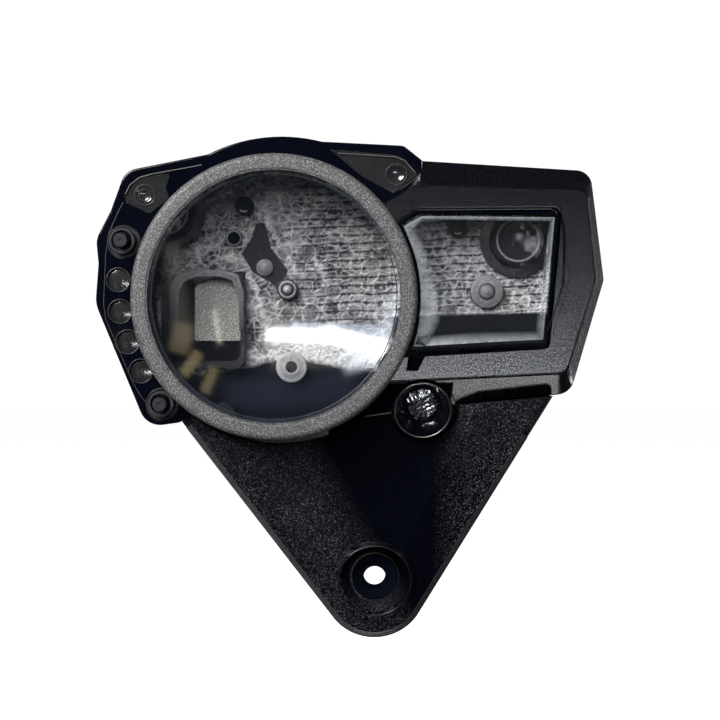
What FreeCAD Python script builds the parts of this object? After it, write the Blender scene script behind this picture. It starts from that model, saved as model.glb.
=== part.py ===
"""Motorcycle instrument cluster housing: round tachometer window, display window, lamp lenses,
two push buttons, a shift light and a triangular lower shroud.

Units are millimetres. The dial faces -Y, +Z is up and +X is to the viewer's right.
The origin is on the axis of the lower mount, in the plane that the three mounts rest on.
"""
import FreeCAD, Part
import math
import os

V = FreeCAD.Vector
FRONT = V(0, -1, 0)
REAR = V(0, 1, 0)

# ---------------------------------------------------------------- depth planes (Y)
Y_RING = -60.0          # front face of the dial ring
Y_COVER = -52.0         # flat face of the right-hand surround
Y_LOBE = -46.0          # gloss frame's face
Y_RIM = -40.0           # outer edge of the surround's bevel
Y_PART = -38.0          # parting plane between the front pieces and the rear case
Y_FLOOR = -16.0         # inside face of the rear case's floor
Y_BACK = -13.0          # outside face of the floor
Y_MOUNT = 0.0           # plane of the three mounts

# ---------------------------------------------------------------- walls and fits
COVER_WALL = 2.4
FRAME_WALL = 2.4
SKIRT_WALL = 2.2
FRAME_EDGE_R = 0.8
CASE_EDGE_R = 1.0
CASE_STEP = 3.0         # the case's body stands in from its rim flange
CASE_WALL = 2.5
FLANGE_Y = -34.0        # rear side of the case's rim flange
GAP = 0.3               # loose gap between neighbouring mouldings
SLIP = 0.15             # gap round an inserted lens
OVER = 1.0              # how far a cutting tool runs past the surface it cuts
FUSE = 0.1              # how far a boss runs into the wall that carries it

# ---------------------------------------------------------------- dial
DIAL = (-42.5, 124.0)
RING_R = 60.0
RING_INNER_R = 52.9
RING_EDGE_R = 2.5
RING_STEP = 0.7         # width and depth of the fine steps inside the ring's face
RING_LIP = 0.5
RING_STEPS = 8
LENS_FLANGE_R = 56.0
LENS_SHELF_Y = -56.2
DOME_RISE = 3.4
DOME_BASE_R = 52.3
DOME_STEPS = 16
LENS_THICK = 2.0
SEAL_THICK = 1.6
SEAL_PLAY = 0.1
COLLAR_R = 53.2

# ---------------------------------------------------------------- outlines, points (x, z, corner radius)
FACE_OUTLINE = [(2, 163, 0), (10, 167.2, 0), (18.7, 172, 0.5), (89.1, 170.1, 5), (93.2, 131.3, 4),
                (80.7, 91.8, 6), (27, 89.2, 0), (3, 88, 0)]
RIM_OUTLINE = [(2, 163, 0), (11, 168, 0), (19.4, 183.2, 0.5), (92.4, 178.8, 7), (98.2, 132.0, 4),
               (83.8, 83.2, 8), (33.4, 78.5, 0), (3, 75.6, 0)]
WINDOW = [(-2, 151, 0), (9.4, 156.3, 0), (17.9, 162, 2), (78.9, 162.4, 4), (73.4, 102.2, 3),
          (20.8, 99, 0), (-2, 98, 0)]
NOTCH = [(14.1, 101, 0), (12.8, 93, 0), (17.7, 93, 0), (22.0, 101, 0)]
CHEVRON = [(79.1, 155.8), (81.2, 130.5), (74.0, 108.2)]
DISPLAY = [(-2, 147.7, 0), (10.8, 154.9, 0), (19.3, 159.7, 1), (76.5, 159.1, 2.5), (71.4, 105.2, 2),
           (14.6, 102.1, 0), (-2, 101.3, 0)]
LEFT_LOBES = [(-60, 186.9, 0), (-71.5, 185.2, 2), (-106.6, 178.2, 8), (-112.6, 161.6, 2),
              (-119.0, 149.0, 9), (-118.0, 138.6, 1), (-119.3, 121.6, 14), (-102.6, 81.6, 1),
              (-97.4, 69.0, 9), (-83.8, 70.9, 2), (-74, 78, 0)]
TOP_RIGHT_LOBE = [(-30, 191.0, 0), (12.0, 188.9, 4), (19.9, 182.6, 1), (19.9, 176.2, 0), (6, 166, 0),
                  (-30, 160, 0)]
BOTTOM_WEDGE = [(-20, 95, 0), (-20, 74.2, 0), (3, 75.6, 0), (32.4, 78.4, 0), (32.4, 96, 0)]
BODY_RIGHT = [(-20, 160, 0), (-10, 176, 0), (19.4, 183.2, 0.5), (92.4, 178.8, 7), (98.2, 132.0, 4),
              (83.8, 83.2, 8), (33.4, 78.5, 0), (3, 75.6, 0), (-20, 74.2, 0)]
TURN_LEFT = [(-107.3, 165.3, 1.5), (-101.8, 176.0, 5), (-87.2, 177.7, 1.5), (-89.3, 171, 1.5),
             (-88, 166.5, 0), (-96.2, 159.9, 1)]
TURN_RIGHT = [(-19.4, 187.3, 0), (9.6, 184.9, 2), (18.4, 176.6, 1), (7.6, 168.6, 0), (-6, 176, 0)]
TOP_ARC = ((-40.0, 124.0), 68.8)       # centre and radius of the brow over the dial
BROW_START = 30.0                      # the brow is the part of that circle this far above its centre
BACK_DISC = ((-41.2, 124.1), 62.6)     # disc behind the dial ring
LENS_TO_RING = 61.8                    # the lenses beside the ring stop at this radius

# ---------------------------------------------------------------- surround's details
FACE_EDGE = 0.9         # the flat face's edge rolls over by this much
FACE_ROLL = 0.45        # depth of that roll
BEVEL_ROLL = 0.6        # depth of the roll between bevel and side wall
RIM_DROP = 0.3
FRAME_INSET = 1.2       # the gloss frame stops this far inside the surround's face
CHEVRON_HALF = 0.55
CHEVRON_DEPTH = 1.2
LAMP_BAY = (-40.0, 60.2, 72.8, 28.0)   # x, z, width and height left open round the shift light

# ---------------------------------------------------------------- sloping wedge under the surround
WEDGE_X = (-20.0, 33.5)
WEDGE_TOP = (87.6, Y_LOBE)             # (z, y) where the slope starts
WEDGE_LOW = (75.0, Y_LOBE + 4.6)       # (z, y) of the slope at the edge
WEDGE_LIP = 0.9         # width of the lip along the wedge's edge
WEDGE_LIP_RISE = 0.6
WEDGE_STEP_R = 60.5     # the slope stops at this radius, under the dial ring

# ---------------------------------------------------------------- frames round the lenses
DISPLAY_LIP = 1.3
DISPLAY_LIP_RISE = 3.4
DISPLAY_RISE = 2.4      # the display lens stands this far out of the frame's face
DISPLAY_WALL = 1.8
DISPLAY_FLANGE = 3.0
DISPLAY_FLANGE_THICK = 1.6
DISPLAY_SEAL = 1.2
SEAL_IN = 0.25          # the display's seal keeps this far inside its flange
LENS_CLEAR = 0.4        # gap between the lens flanges and the frame's skirt
TUBE_WALL = 0.95        # wall of the light tubes behind the lamp lenses
LENS_FLANGE = 0.8
TURN_FLANGE = 1.2
TURN_SINK = 0.5         # the turn-signal lenses lie this far below the frame's face
WELL_WALL = 1.4

# ---------------------------------------------------------------- lamps and buttons
TURN_LAMPS = {"left": (-98.2, 167.6), "right": (8.6, 176.6)}
TURN_LAMP_R = 4.5
TURN_GUIDE = 3.4
TURN_RIM_RISE = 0.4
TURN_DIMPLE_R = 3.8
DIMPLE_BALL_R = 8.0
DIMPLE_DEPTH = 0.8
INDICATORS = [(-109.5, 131.7), (-108.7, 118.3), (-105.5, 105.3), (-99.9, 92.9)]
INDICATOR_R = 5.0
INDICATOR_SINK = 1.4    # the indicator lenses' rims lie this far below the frame's face
INDICATOR_RISE = 0.5
INDICATOR_FLANGE_THICK = 1.0
INDICATOR_STEPS = 8
BUTTONS = {"select": (-107.4, 148.0), "adjust": (-90.9, 78.9)}
WELL_R = 7.4
WELL_FLOOR_Y = -42.0
WELL_FLOOR_THICK = 1.5
COLLAR_OUT_R = 5.5
COLLAR_IN_R = 4.3
COLLAR_TOP_Y = -50.0
PLUNGER_R = 3.0
PLUNGER_TOP_Y = -54.0
PLUNGER_HOLE_R = 3.35
PLUNGER_HEAD_R = 3.9
PLUNGER_HEAD_THICK = 1.2
PLUNGER_HEAD_PLAY = 0.5
PLUNGER_EDGE_R = 0.4
PLUNGER_DIMPLE_R = 1.6
PLUNGER_DIMPLE_DEPTH = 0.35
BOOT_THICK = 1.2
BOOT_EDGE = 0.4
LIGHT_TUBE_END_Y = -38.3
LENS_PLAY = 0.05

# ---------------------------------------------------------------- shift light
SHIFT_RIM = V(20.1, Y_LOBE - 0.4, 76.2)
SHIFT_TILT = math.radians(15.0)
SHIFT_BACK = V(0, math.cos(SHIFT_TILT), math.sin(SHIFT_TILT))
SHIFT_R = 12.8
SHIFT_BOWL_R = 11.9
SHIFT_LENS_R = 7.4
SHIFT_BOWL_END_R = 8.1
SHIFT_LENS_DEPTH = 8.0
SHIFT_LENS_THICK = 3.0
SHIFT_DOME_R = 16.0
SHIFT_DOME_RISE = 1.4
SHIFT_SEAT = 1.2        # width of the ledge behind the lens
SHIFT_END_WALL = 2.0
SHIFT_LENGTH = 27.0
SHIFT_CUTOUT_R = 14.3
SHIFT_SLEEVE_R = 14.9
SHIFT_SLEEVE_START = 13.5
SHIFT_PLAY = 0.2
SHIFT_CLEAR = 6.0       # the shroud leaves this much room behind the shift light

# ---------------------------------------------------------------- rear case
TRACK = (4.4, 2.6)      # the seal's groove runs between these insets of the silhouette
TRACK_DEPTH = 1.6
SOCKETS = {"left": (-91.8, 162.4), "right": (63.0, 150.4)}
SOCKET_R = 11.9
SOCKET_STEP_R = 16.2
SOCKET_FRONT_Y = -24.0
SOCKET_EDGE_R = 4.0
SOCKET_STEP = 2.5
SOCKET_MOAT = 1.6       # width of the groove between post and step
SOCKET_END_WALL = 3.0
SOCKET_FLANGE = 1.0     # thickness of the bush's flange behind the post
BUSH_LENGTH = 19.5
SOCKET_BORE_R = 8.5
GROMMET_HOLE_R = 4.2
POSTS = [((-36.9, 94.5), 6.8, 6.0, 2.4), ((49.6, 127.9), 7.3, 4.5, 2.0), ((-38.7, 128.8), 4.6, 5.0, 2.4)]
PLUGS = [((-57.9, 165.9), 4.1, 5.5), ((36.7, 156.1), 4.1, 5.5), ((-49.0, 138.7), 3.0, 1.2)]
POST_FOOT = 0.5         # the posts' holes stop this far above the floor
PLUG_EDGE_R = 1.6
PORT_FRAME = [(-94.4, 94.0, 4), (-57.3, 94.0, 5), (-57.3, 134.5, 5), (-68.0, 137.4, 12), (-94.4, 134.0, 6)]
PORT_MOUTH = [(-91.6, 97.0, 3), (-59.4, 97.0, 4), (-59.4, 132.8, 4), (-69.5, 135.2, 9), (-91.6, 131.6, 4)]
PORT_HOLE = [(-80.7, 106.1, 1.5), (-59.6, 106.1, 1.5), (-59.6, 131.8, 3), (-69.5, 134.4, 8), (-80.7, 131.6, 3)]
PORT_FRONT_Y = -23.0
PORT_COVER_LAP = 3.2    # how far the blanking plate laps over the port's edge
PORT_COVER_THICK = 2.0
PORT_COVER_EDGE_R = 0.6
PORT_PLUG = 1.0

# ---------------------------------------------------------------- screws
CASE_SCREWS = [(-42.5, 184.5), (-70.9, 177.2), (-65.5, 74.6), (-3.6, 82.6), (27.0, 166.8),
               (83.9, 163.6), (76.2, 96.4)]
SHROUD_SCREWS = [(-36.9, 94.5), (6.0, 96.0), (50.0, 91.0)]
SCREW_R = 1.45
SCREW_HOLE_R = 1.5
SCREW_STOP = 0.8        # the frame's blind screw holes stop this far behind its plate
SCREW_CLEAR_R = 1.8
SCREW_HEAD_R = 3.0
SCREW_HEAD_H = 2.2
BOSS_R = 4.6
RECESS_R = 3.5
HEAD_SEAT_Y = -32.6
FRAME_BOSS_R = 3.6
BLIND_BOSS = 6.0        # height of the bosses for the shroud's screws
SCREW_TIP = 1.2         # length of the screws' pointed tips
SCREW_TIP_R = 0.4
SCREW_HEAD_EDGE_R = 0.8
CROSS = (3.2, 0.7, 0.9) # length and width of the cross recess, and where its floor is
CASE_SCREW_TIP_Y = -42.2
SHROUD_SCREW_TIP_Y = -20.0

# ---------------------------------------------------------------- lower shroud
SHROUD_OUTLINE = [(-98.2, 91.9, 0), (2.0, -45.5, 22.8), (87.4, 102.1, 0), (70, 112, 0), (-80, 112, 0)]
SHROUD_CREST_Z = 83.0   # behind the case the shroud's side walls stop here
SHROUD_WALL = 2.6
SHROUD_TOP = (78.0, -44.5)      # (z, y) of the sloping face near the case
SHROUD_LOW = (-24.0, -15.0)     # (z, y) of the sloping face at the tip
SHROUD_BACK_Y = -4.0
SHROUD_EDGE_R = 3.0
TAB_OUTLINE = [(-70, 55.5, 0), (60, 58, 0), (75, 83, 0), (62, 104, 8), (-46, 104, 8), (-88, 81, 0)]
TAB_Y = -12.7
TAB_THICK = 3.0
TAIL_RIM_R = 15.5
TAIL_FLOOR_Y = -10.0
TAIL_FLOOR_R = 11.2
TAIL_GROMMET_R = 10.1
TAIL_NECK_R = 7.5
TAIL_HOLE_R = 4.95
TAIL_HOLE_EDGE = 0.6
TAIL_FLANGE = 2.0
TAIL_RIM_WALL = 2.4
TAIL_RIM_RISE = 0.8     # the pit's rim stands this far above the sloping face
TAIL_CONE_Y = -24.0     # the pit's wall is a cone from here down to its floor
TAIL_PLAY = 0.7
VALLEY_BRIM = 6.0       # the valley's tool runs on this far above the sloping face
VALLEY_RIB = 0.6
SLAB = (130.0, -60.0)   # heights between which the sloping face is built
SLAB_HALF = 120.0
VALLEY_TOP = (84.0, -27.0, 31.0, -47.0, 47.0, 5.0)    # z, floor x from/to, brim x from/to, depth
VALLEY_LOW = (16.0, -7.0, 8.0, -12.5, 13.0, 1.6)


# ================================================================ small builders
def inset(points, amount):
    """Move every side of a closed outline inwards by amount (outwards when it is negative)."""
    count = len(points)
    area = sum(points[i][0] * points[(i + 1) % count][1] - points[(i + 1) % count][0] * points[i][1]
               for i in range(count))
    turn = 1.0 if area > 0 else -1.0
    sides = []
    for i in range(count):
        (ax, az, _), (bx, bz, _) = points[i], points[(i + 1) % count]
        length = math.hypot(bx - ax, bz - az)
        nx, nz = -(bz - az) / length * turn, (bx - ax) / length * turn
        sides.append((ax + nx * amount, az + nz * amount, (bx - ax) / length, (bz - az) / length))
    moved = []
    for i in range(count):
        px, pz, pu, pw = sides[i - 1]
        qx, qz, qu, qw = sides[i]
        cross = pu * qw - pw * qu
        step = ((qx - px) * qw - (qz - pz) * qu) / cross
        convex = cross * turn > 0
        radius = points[i][2]
        radius = max(radius - amount if convex else radius + amount, 0.0) if radius else 0.0
        moved.append((px + pu * step, pz + pw * step, radius))
    return moved


def between(first, second, share):
    """Outline that lies part of the way from one outline to another."""
    return [tuple(a + (b - a) * share for a, b in zip(one, two)) for one, two in zip(first, second)]


def outline_wire(points, y):
    """Closed wire at depth y through (x, z, radius) corners, each rounded by its radius."""
    count = len(points)
    edges = []
    starts, ends = [], []
    for i in range(count):
        x, z, radius = points[i]
        here = V(x, y, z)
        before = V(points[i - 1][0], y, points[i - 1][1])
        after = V(points[(i + 1) % count][0], y, points[(i + 1) % count][1])
        if radius <= 0:
            starts.append(here)
            ends.append(here)
            edges.append(None)
            continue
        to_before = (before - here).normalize()
        to_after = (after - here).normalize()
        half = to_before.getAngle(to_after) / 2
        reach = radius / math.tan(half)
        bisector = (to_before + to_after).normalize()
        centre = here + bisector * (radius / math.sin(half))
        starts.append(here + to_before * reach)
        ends.append(here + to_after * reach)
        edges.append(Part.Arc(starts[-1], centre - bisector * radius, ends[-1]).toShape())
    chain = []
    for i in range(count):
        if edges[i]:
            chain.append(edges[i])
        following = starts[(i + 1) % count]
        if (following - ends[i]).Length > 1e-6:
            chain.append(Part.LineSegment(ends[i], following).toShape())
    return Part.Wire(chain)


def prism(points, y0, y1):
    """Solid between two depths with a rounded outline."""
    return Part.Face(outline_wire(points, y0)).extrude(V(0, y1 - y0, 0))


def rod(centre, radius, y0, y1):
    """Cylinder along Y."""
    return Part.makeCylinder(radius, y1 - y0, V(centre[0], y0, centre[1]), REAR)


def tube(centre, outer, inner, y0, y1):
    """Hollow cylinder along Y."""
    return rod(centre, outer, y0, y1).cut(rod(centre, inner, y0 - 1, y1 + 1))


def lathe(centre, profile):
    """Turn a closed (radius, y) profile about the Y axis through centre."""
    points = [V(centre[0] + r, y, centre[1]) for r, y in profile]
    wire = Part.makePolygon(points + [points[0]])
    return Part.Face(wire).revolve(V(centre[0], 0, centre[1]), REAR, 360)


def joined(shapes):
    """One solid from overlapping shapes."""
    return shapes[0].fuse(shapes[1:]).removeSplitter()


def rounded(shape, radius, wanted):
    """Fillet the edges that wanted(edge) accepts."""
    edges = [edge for edge in shape.Edges if wanted(edge)]
    return shape.makeFillet(radius, edges)


def lies_flat(y):
    """Test for the edges that lie wholly at depth y."""
    return lambda edge: abs(edge.BoundBox.YMin - y) < 0.02 and abs(edge.BoundBox.YMax - y) < 0.02


def save(name, shape):
    """Write one node, after making sure that it is sound."""
    if not shape.isValid():
        raise ValueError(name + " is not valid")
    shape.exportStep("parts/" + name + ".step")
    print(name, len(shape.Solids), round(shape.Volume))


# ================================================================ shared regions
def dial_side(amount, y0, y1):
    """The disc behind the dial, the brow over it and the lobes beside it, moved in by amount."""
    centre, radius = TOP_ARC
    brow = rod(centre, radius - amount, y0, y1)
    above = Part.makeBox(4 * radius, y1 - y0, radius, V(centre[0] - 2 * radius, y0, centre[1] + BROW_START))
    centre, radius = BACK_DISC
    lobes = [prism(inset(points, amount), y0, y1) for points in (LEFT_LOBES, TOP_RIGHT_LOBE)]
    return [rod(centre, radius - amount, y0, y1), brow.common(above)] + lobes


def body_region(amount, y0, y1):
    """The whole case's silhouette, moved in by amount."""
    return joined(dial_side(amount, y0, y1) + [prism(inset(BODY_RIGHT, amount), y0, y1)])


def frame_region(amount, y0, y1):
    """Silhouette of the gloss frame: full size at the left, inside the surround at the right."""
    wedge = prism(inset(BOTTOM_WEDGE, amount), y0, y1)
    behind_cover = prism(inset(FACE_OUTLINE, amount + FRAME_INSET), y0, y1)
    return joined(dial_side(amount, y0, y1) + [wedge, behind_cover])


def display_region(grow, y0, y1):
    """Outline of the display lens, grown by an amount."""
    block = prism(inset(DISPLAY, -grow), y0, y1)
    return block.cut(rod(DIAL, LENS_TO_RING - grow, y0 - 1, y1 + 1))


def turn_region(points, grow, y0, y1):
    """Outline of a turn-signal lens, grown by an amount."""
    return prism(inset(points, -grow), y0, y1).cut(rod(DIAL, LENS_TO_RING - grow, y0 - 1, y1 + 1))


def shift_rod(radius, start, end):
    """Cylinder along the tilted axis of the shift light, measured back from its rim."""
    return Part.makeCylinder(radius, end - start, SHIFT_RIM + SHIFT_BACK * start, SHIFT_BACK)


# ================================================================ front cover
def ring_profile():
    """(radius, y) section of the dial ring, with a rounded outer edge."""
    steps = RING_STEPS
    arc = [(RING_R - RING_EDGE_R * (1 - math.sin(a)), Y_RING + RING_EDGE_R * (1 - math.cos(a)))
           for a in [math.pi / 2 * i / steps for i in range(steps + 1)]]
    seat_r, lip_r = LENS_FLANGE_R + LENS_CLEAR, RING_INNER_R + RING_STEP
    inner = [(seat_r, Y_LOBE), (seat_r, LENS_SHELF_Y), (RING_INNER_R, LENS_SHELF_Y),
             (RING_INNER_R, Y_RING + 2 * RING_LIP), (lip_r, Y_RING + RING_LIP),
             (lip_r, Y_RING + FUSE), (lip_r + RING_LIP, Y_RING)]
    return arc + [(RING_R, Y_LOBE)] + inner


def surround():
    """Bevelled right-hand cover with its window, notch and engraved chevron."""
    soft_face = inset(FACE_OUTLINE, FACE_EDGE)
    sections = [(soft_face, Y_COVER), (between(soft_face, FACE_OUTLINE, 0.7), Y_COVER + FACE_ROLL / 6),
                (between(FACE_OUTLINE, RIM_OUTLINE, 0.03), Y_COVER + FACE_ROLL),
                (between(FACE_OUTLINE, RIM_OUTLINE, 0.95), Y_RIM - BEVEL_ROLL), (RIM_OUTLINE, Y_RIM + RIM_DROP)]
    outer = Part.makeLoft([outline_wire(points, y) for points, y in sections], True, True)
    skirt = prism(RIM_OUTLINE, Y_RIM + RIM_DROP, Y_PART)
    hollow = Part.makeLoft([outline_wire(inset(FACE_OUTLINE, COVER_WALL), Y_COVER + COVER_WALL),
                            outline_wire(inset(RIM_OUTLINE, COVER_WALL), Y_RIM + FUSE)], True, True)
    hollow_skirt = prism(inset(RIM_OUTLINE, COVER_WALL), Y_RIM, Y_PART + OVER)
    shell = joined([outer, skirt]).cut(hollow).cut(hollow_skirt)
    for points in (WINDOW, NOTCH):
        shell = shell.cut(prism(points, Y_COVER - OVER, Y_LOBE))
    x, z, wide, high = LAMP_BAY
    lamp_bay = Part.makeBox(wide, Y_PART - Y_RING, high, V(x, Y_RING, z))
    return shell.cut(lamp_bay).cut(chevron_groove())


def chevron_groove():
    """Shallow groove along the chevron beside the display window."""
    left = [(x - CHEVRON_HALF, z, 0) for x, z in CHEVRON]
    right = [(x + CHEVRON_HALF, z, 0) for x, z in reversed(CHEVRON)]
    return prism(left + right, Y_COVER - OVER, Y_COVER + CHEVRON_DEPTH)


def front_cover():
    ring = lathe(DIAL, ring_profile())
    shell = surround().cut(rod(DIAL, RING_R - 0.5, Y_RING - 1, Y_PART + 1))
    shell = shell.cut(shift_rod(SHIFT_CUTOUT_R, -15, 30))
    shell = shell.cut(frame_region(-GAP, Y_LOBE - 0.1, Y_PART + 1))
    return joined([ring, shell])


# ================================================================ gloss frame
def wedge_slope(depth, reach, y_front):
    """Everything from y_front back to the wedge's slope, which is moved back by depth."""
    (z0, y0), (z1, y1) = WEDGE_TOP, WEDGE_LOW
    low = z1 - SHIFT_R
    points = [V(WEDGE_X[0], y_front, z0), V(WEDGE_X[0], y0 + depth, z0),
              V(WEDGE_X[0], y0 + depth + (y1 - y0) / (z0 - z1) * (z0 - low), low), V(WEDGE_X[0], y_front, low)]
    slope = Part.Face(Part.makePolygon(points + [points[0]])).extrude(V(WEDGE_X[1] - WEDGE_X[0], 0, 0))
    return slope.cut(rod(DIAL, reach, y_front - OVER, 0))


def frame_plate():
    """Front plate with its skirt, sloping where it runs out under the surround."""
    block = rounded(frame_region(0, Y_LOBE, Y_PART), FRAME_EDGE_R, lies_flat(Y_LOBE))
    front = Y_LOBE - OVER
    block = block.cut(wedge_slope(-WEDGE_LIP_RISE, WEDGE_STEP_R, front))
    block = block.cut(wedge_slope(0, WEDGE_STEP_R, front).common(frame_region(WEDGE_LIP, front, Y_PART)))
    hollow = frame_region(SKIRT_WALL, Y_LOBE + FRAME_WALL, Y_PART + OVER)
    return block.cut(hollow.cut(wedge_slope(FRAME_WALL, WEDGE_STEP_R - FRAME_WALL, front)))


def light_tubes(behind):
    """Tubes that take the lamps' light to their lenses, and the lenses' seats."""
    adds, cuts = [], []
    for points in (TURN_LEFT, TURN_RIGHT):
        wall = turn_region(points, 2 * TURN_FLANGE, behind - FUSE, LIGHT_TUBE_END_Y)
        adds.append(wall.common(frame_region(0, Y_LOBE, LIGHT_TUBE_END_Y)))
        cuts.append(turn_region(points, SLIP, Y_LOBE - OVER, behind + OVER))
        cuts.append(turn_region(points, TURN_FLANGE + SLIP, behind, LIGHT_TUBE_END_Y + OVER))
    for centre in INDICATORS:
        seat = INDICATOR_R + LENS_FLANGE + LENS_PLAY
        adds.append(rod(centre, seat + TUBE_WALL, behind - FUSE, LIGHT_TUBE_END_Y))
        cuts.append(rod(centre, INDICATOR_R + LENS_PLAY, Y_LOBE - OVER, behind + OVER))
        cuts.append(rod(centre, seat, behind, LIGHT_TUBE_END_Y + OVER))
    return adds, cuts


def wells():
    """Pockets that hold the buttons' boots, with a hole for each plunger."""
    adds, cuts = [], []
    for centre in BUTTONS.values():
        adds.append(rod(centre, WELL_R + WELL_WALL, Y_LOBE + FUSE, WELL_FLOOR_Y + WELL_FLOOR_THICK))
        cuts.append(rod(centre, WELL_R, Y_LOBE - OVER, WELL_FLOOR_Y))
        cuts.append(rod(centre, PLUNGER_HOLE_R, Y_LOBE - OVER, Y_PART))
    return adds, cuts


def inner_frame():
    behind = Y_LOBE + FRAME_WALL
    lip_y = Y_LOBE - DISPLAY_LIP_RISE
    lip = display_region(DISPLAY_LIP, lip_y, Y_LOBE + FUSE)
    lip = lip.cut(display_region(SLIP, lip_y - OVER, Y_LOBE + OVER))
    collar = tube(DIAL, LENS_FLANGE_R, COLLAR_R, LENS_SHELF_Y + LENS_THICK + SEAL_THICK, Y_LOBE + OVER)
    tube_adds, tube_cuts = light_tubes(behind)
    well_adds, well_cuts = wells()
    bosses = [rod(centre, FRAME_BOSS_R, behind - FUSE, Y_PART) for centre in CASE_SCREWS]
    holes = [rod(centre, SCREW_HOLE_R, behind + SCREW_STOP, Y_PART + OVER) for centre in CASE_SCREWS]
    windows = [rod(DIAL, COLLAR_R, Y_RING, Y_PART + OVER), display_region(SLIP, lip_y - OVER, behind + OVER),
               shift_rod(SHIFT_R + SHIFT_PLAY, -SHIFT_R, SHIFT_LENGTH)]
    frame = joined([frame_plate(), lip, collar] + tube_adds + well_adds + bosses)
    for tool in windows + tube_cuts + well_cuts + holes:
        frame = frame.cut(tool)
    return frame


# ================================================================ rear case
def tub():
    """Open tub: rim flange, stepped-in wall and floor."""
    flange = body_region(0, Y_PART, FLANGE_Y)
    body = rounded(body_region(CASE_STEP, FLANGE_Y - 1, Y_BACK), CASE_EDGE_R, lies_flat(Y_BACK))
    hollow = body_region(CASE_STEP + CASE_WALL, Y_PART - 1, Y_FLOOR)
    return joined([flange, body]).cut(hollow)


def sockets():
    """Closed-ended posts that hold the upper mounts' grommets, and the steps round them."""
    adds, cuts = [], []
    for centre in SOCKETS.values():
        post = rod(centre, SOCKET_R, SOCKET_FRONT_Y, Y_MOUNT - SOCKET_FLANGE)
        adds.append(rounded(post, SOCKET_EDGE_R, lies_flat(SOCKET_FRONT_Y)))
        adds.append(rod(centre, SOCKET_STEP_R, Y_FLOOR - SOCKET_STEP, Y_FLOOR + FUSE))
        cuts.append(rod(centre, SOCKET_BORE_R, SOCKET_FRONT_Y + SOCKET_END_WALL, Y_MOUNT))
        cuts.append(tube(centre, SOCKET_R + SOCKET_MOAT, SOCKET_R, Y_FLOOR - 2 * SOCKET_STEP, Y_FLOOR - OVER))
    return adds, cuts


def floor_posts():
    """Circuit-board posts, locating pins and moulded plugs on the floor."""
    adds, cuts = [], []
    for centre, radius, height, hole in POSTS:
        adds.append(rod(centre, radius, Y_FLOOR - height, Y_FLOOR + FUSE))
        cuts.append(rod(centre, hole, Y_FLOOR - height - OVER, Y_FLOOR - POST_FOOT))
    for centre, radius, height in PLUGS:
        plug = rod(centre, radius, Y_FLOOR - height, Y_FLOOR + FUSE)
        adds.append(rounded(plug, min(PLUG_EDGE_R, height / 2), lies_flat(Y_FLOOR - height)))
    return adds, cuts


def port():
    """Connector port: raised frame whose walls funnel down to the hole in the floor."""
    frame = prism(PORT_FRAME, PORT_FRONT_Y, Y_FLOOR + FUSE)
    mouth, hole = outline_wire(PORT_MOUTH, PORT_FRONT_Y), outline_wire(PORT_HOLE, Y_FLOOR)
    return frame, [Part.makeLoft([mouth, hole], True, True), prism(PORT_HOLE, Y_FLOOR - FUSE, Y_BACK + OVER)]


def screw_bosses():
    """Deep screw pockets from the rear, and the blind bosses of the shroud's screws."""
    adds, cuts = [], []
    for centre in CASE_SCREWS:
        adds.append(rod(centre, BOSS_R, Y_PART, Y_BACK))
        cuts.append(rod(centre, RECESS_R, HEAD_SEAT_Y, Y_BACK + OVER))
        cuts.append(rod(centre, SCREW_CLEAR_R, Y_PART - OVER, HEAD_SEAT_Y + OVER))
    for centre in SHROUD_SCREWS:
        adds.append(rod(centre, BOSS_R, Y_FLOOR - BLIND_BOSS, Y_FLOOR + FUSE))
        cuts.append(rod(centre, SCREW_HOLE_R, Y_FLOOR - BLIND_BOSS + OVER, Y_BACK + OVER))
    return adds, cuts


def seal_track(inner, outer, y0, y1):
    """Ring between two insets of the case's silhouette, open where the shift light passes."""
    return body_region(outer, y0, y1).cut(body_region(inner, y0 - 1, y1 + 1))


def rear_case():
    socket_adds, socket_cuts = sockets()
    post_adds, post_cuts = floor_posts()
    boss_adds, boss_cuts = screw_bosses()
    port_frame, port_cuts = port()
    sleeve = shift_rod(SHIFT_SLEEVE_R, SHIFT_SLEEVE_START, SHIFT_LENGTH - OVER)
    room = body_region(CASE_STEP + OVER, Y_PART - OVER, Y_BACK)
    inside = joined(socket_adds + post_adds + boss_adds + [port_frame])
    case = joined([tub(), inside.common(joined([room, rear_bosses()])), sleeve])
    groove = seal_track(TRACK[0], TRACK[1], Y_PART - OVER, Y_PART + TRACK_DEPTH)
    bore = shift_rod(SHIFT_R + LENS_PLAY, -SHIFT_R, SHIFT_LENGTH)
    cuts = socket_cuts + post_cuts + boss_cuts + port_cuts + [groove, bore]
    head_r = PLUNGER_HEAD_R + PLUNGER_HEAD_PLAY
    cuts += [rod(centre, head_r, Y_PART - OVER, FLANGE_Y + OVER) for centre in BUTTONS.values()]
    for tool in cuts:
        case = case.cut(tool)
    return case


def rear_bosses():
    """Space behind the floor that the two socket posts may fill."""
    return joined([rod(centre, SOCKET_R + OVER, Y_BACK - OVER, Y_MOUNT) for centre in SOCKETS.values()])


def port_cover():
    """Blanking plate behind the port, with a shallow plug that locates it in the hole."""
    plate = prism(inset(PORT_HOLE, -PORT_COVER_LAP), Y_BACK, Y_BACK + PORT_COVER_THICK)
    plate = rounded(plate, PORT_COVER_EDGE_R, lies_flat(Y_BACK + PORT_COVER_THICK))
    return joined([plate, prism(inset(PORT_HOLE, SLIP), Y_BACK - PORT_PLUG, Y_BACK + FUSE)])


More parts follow.
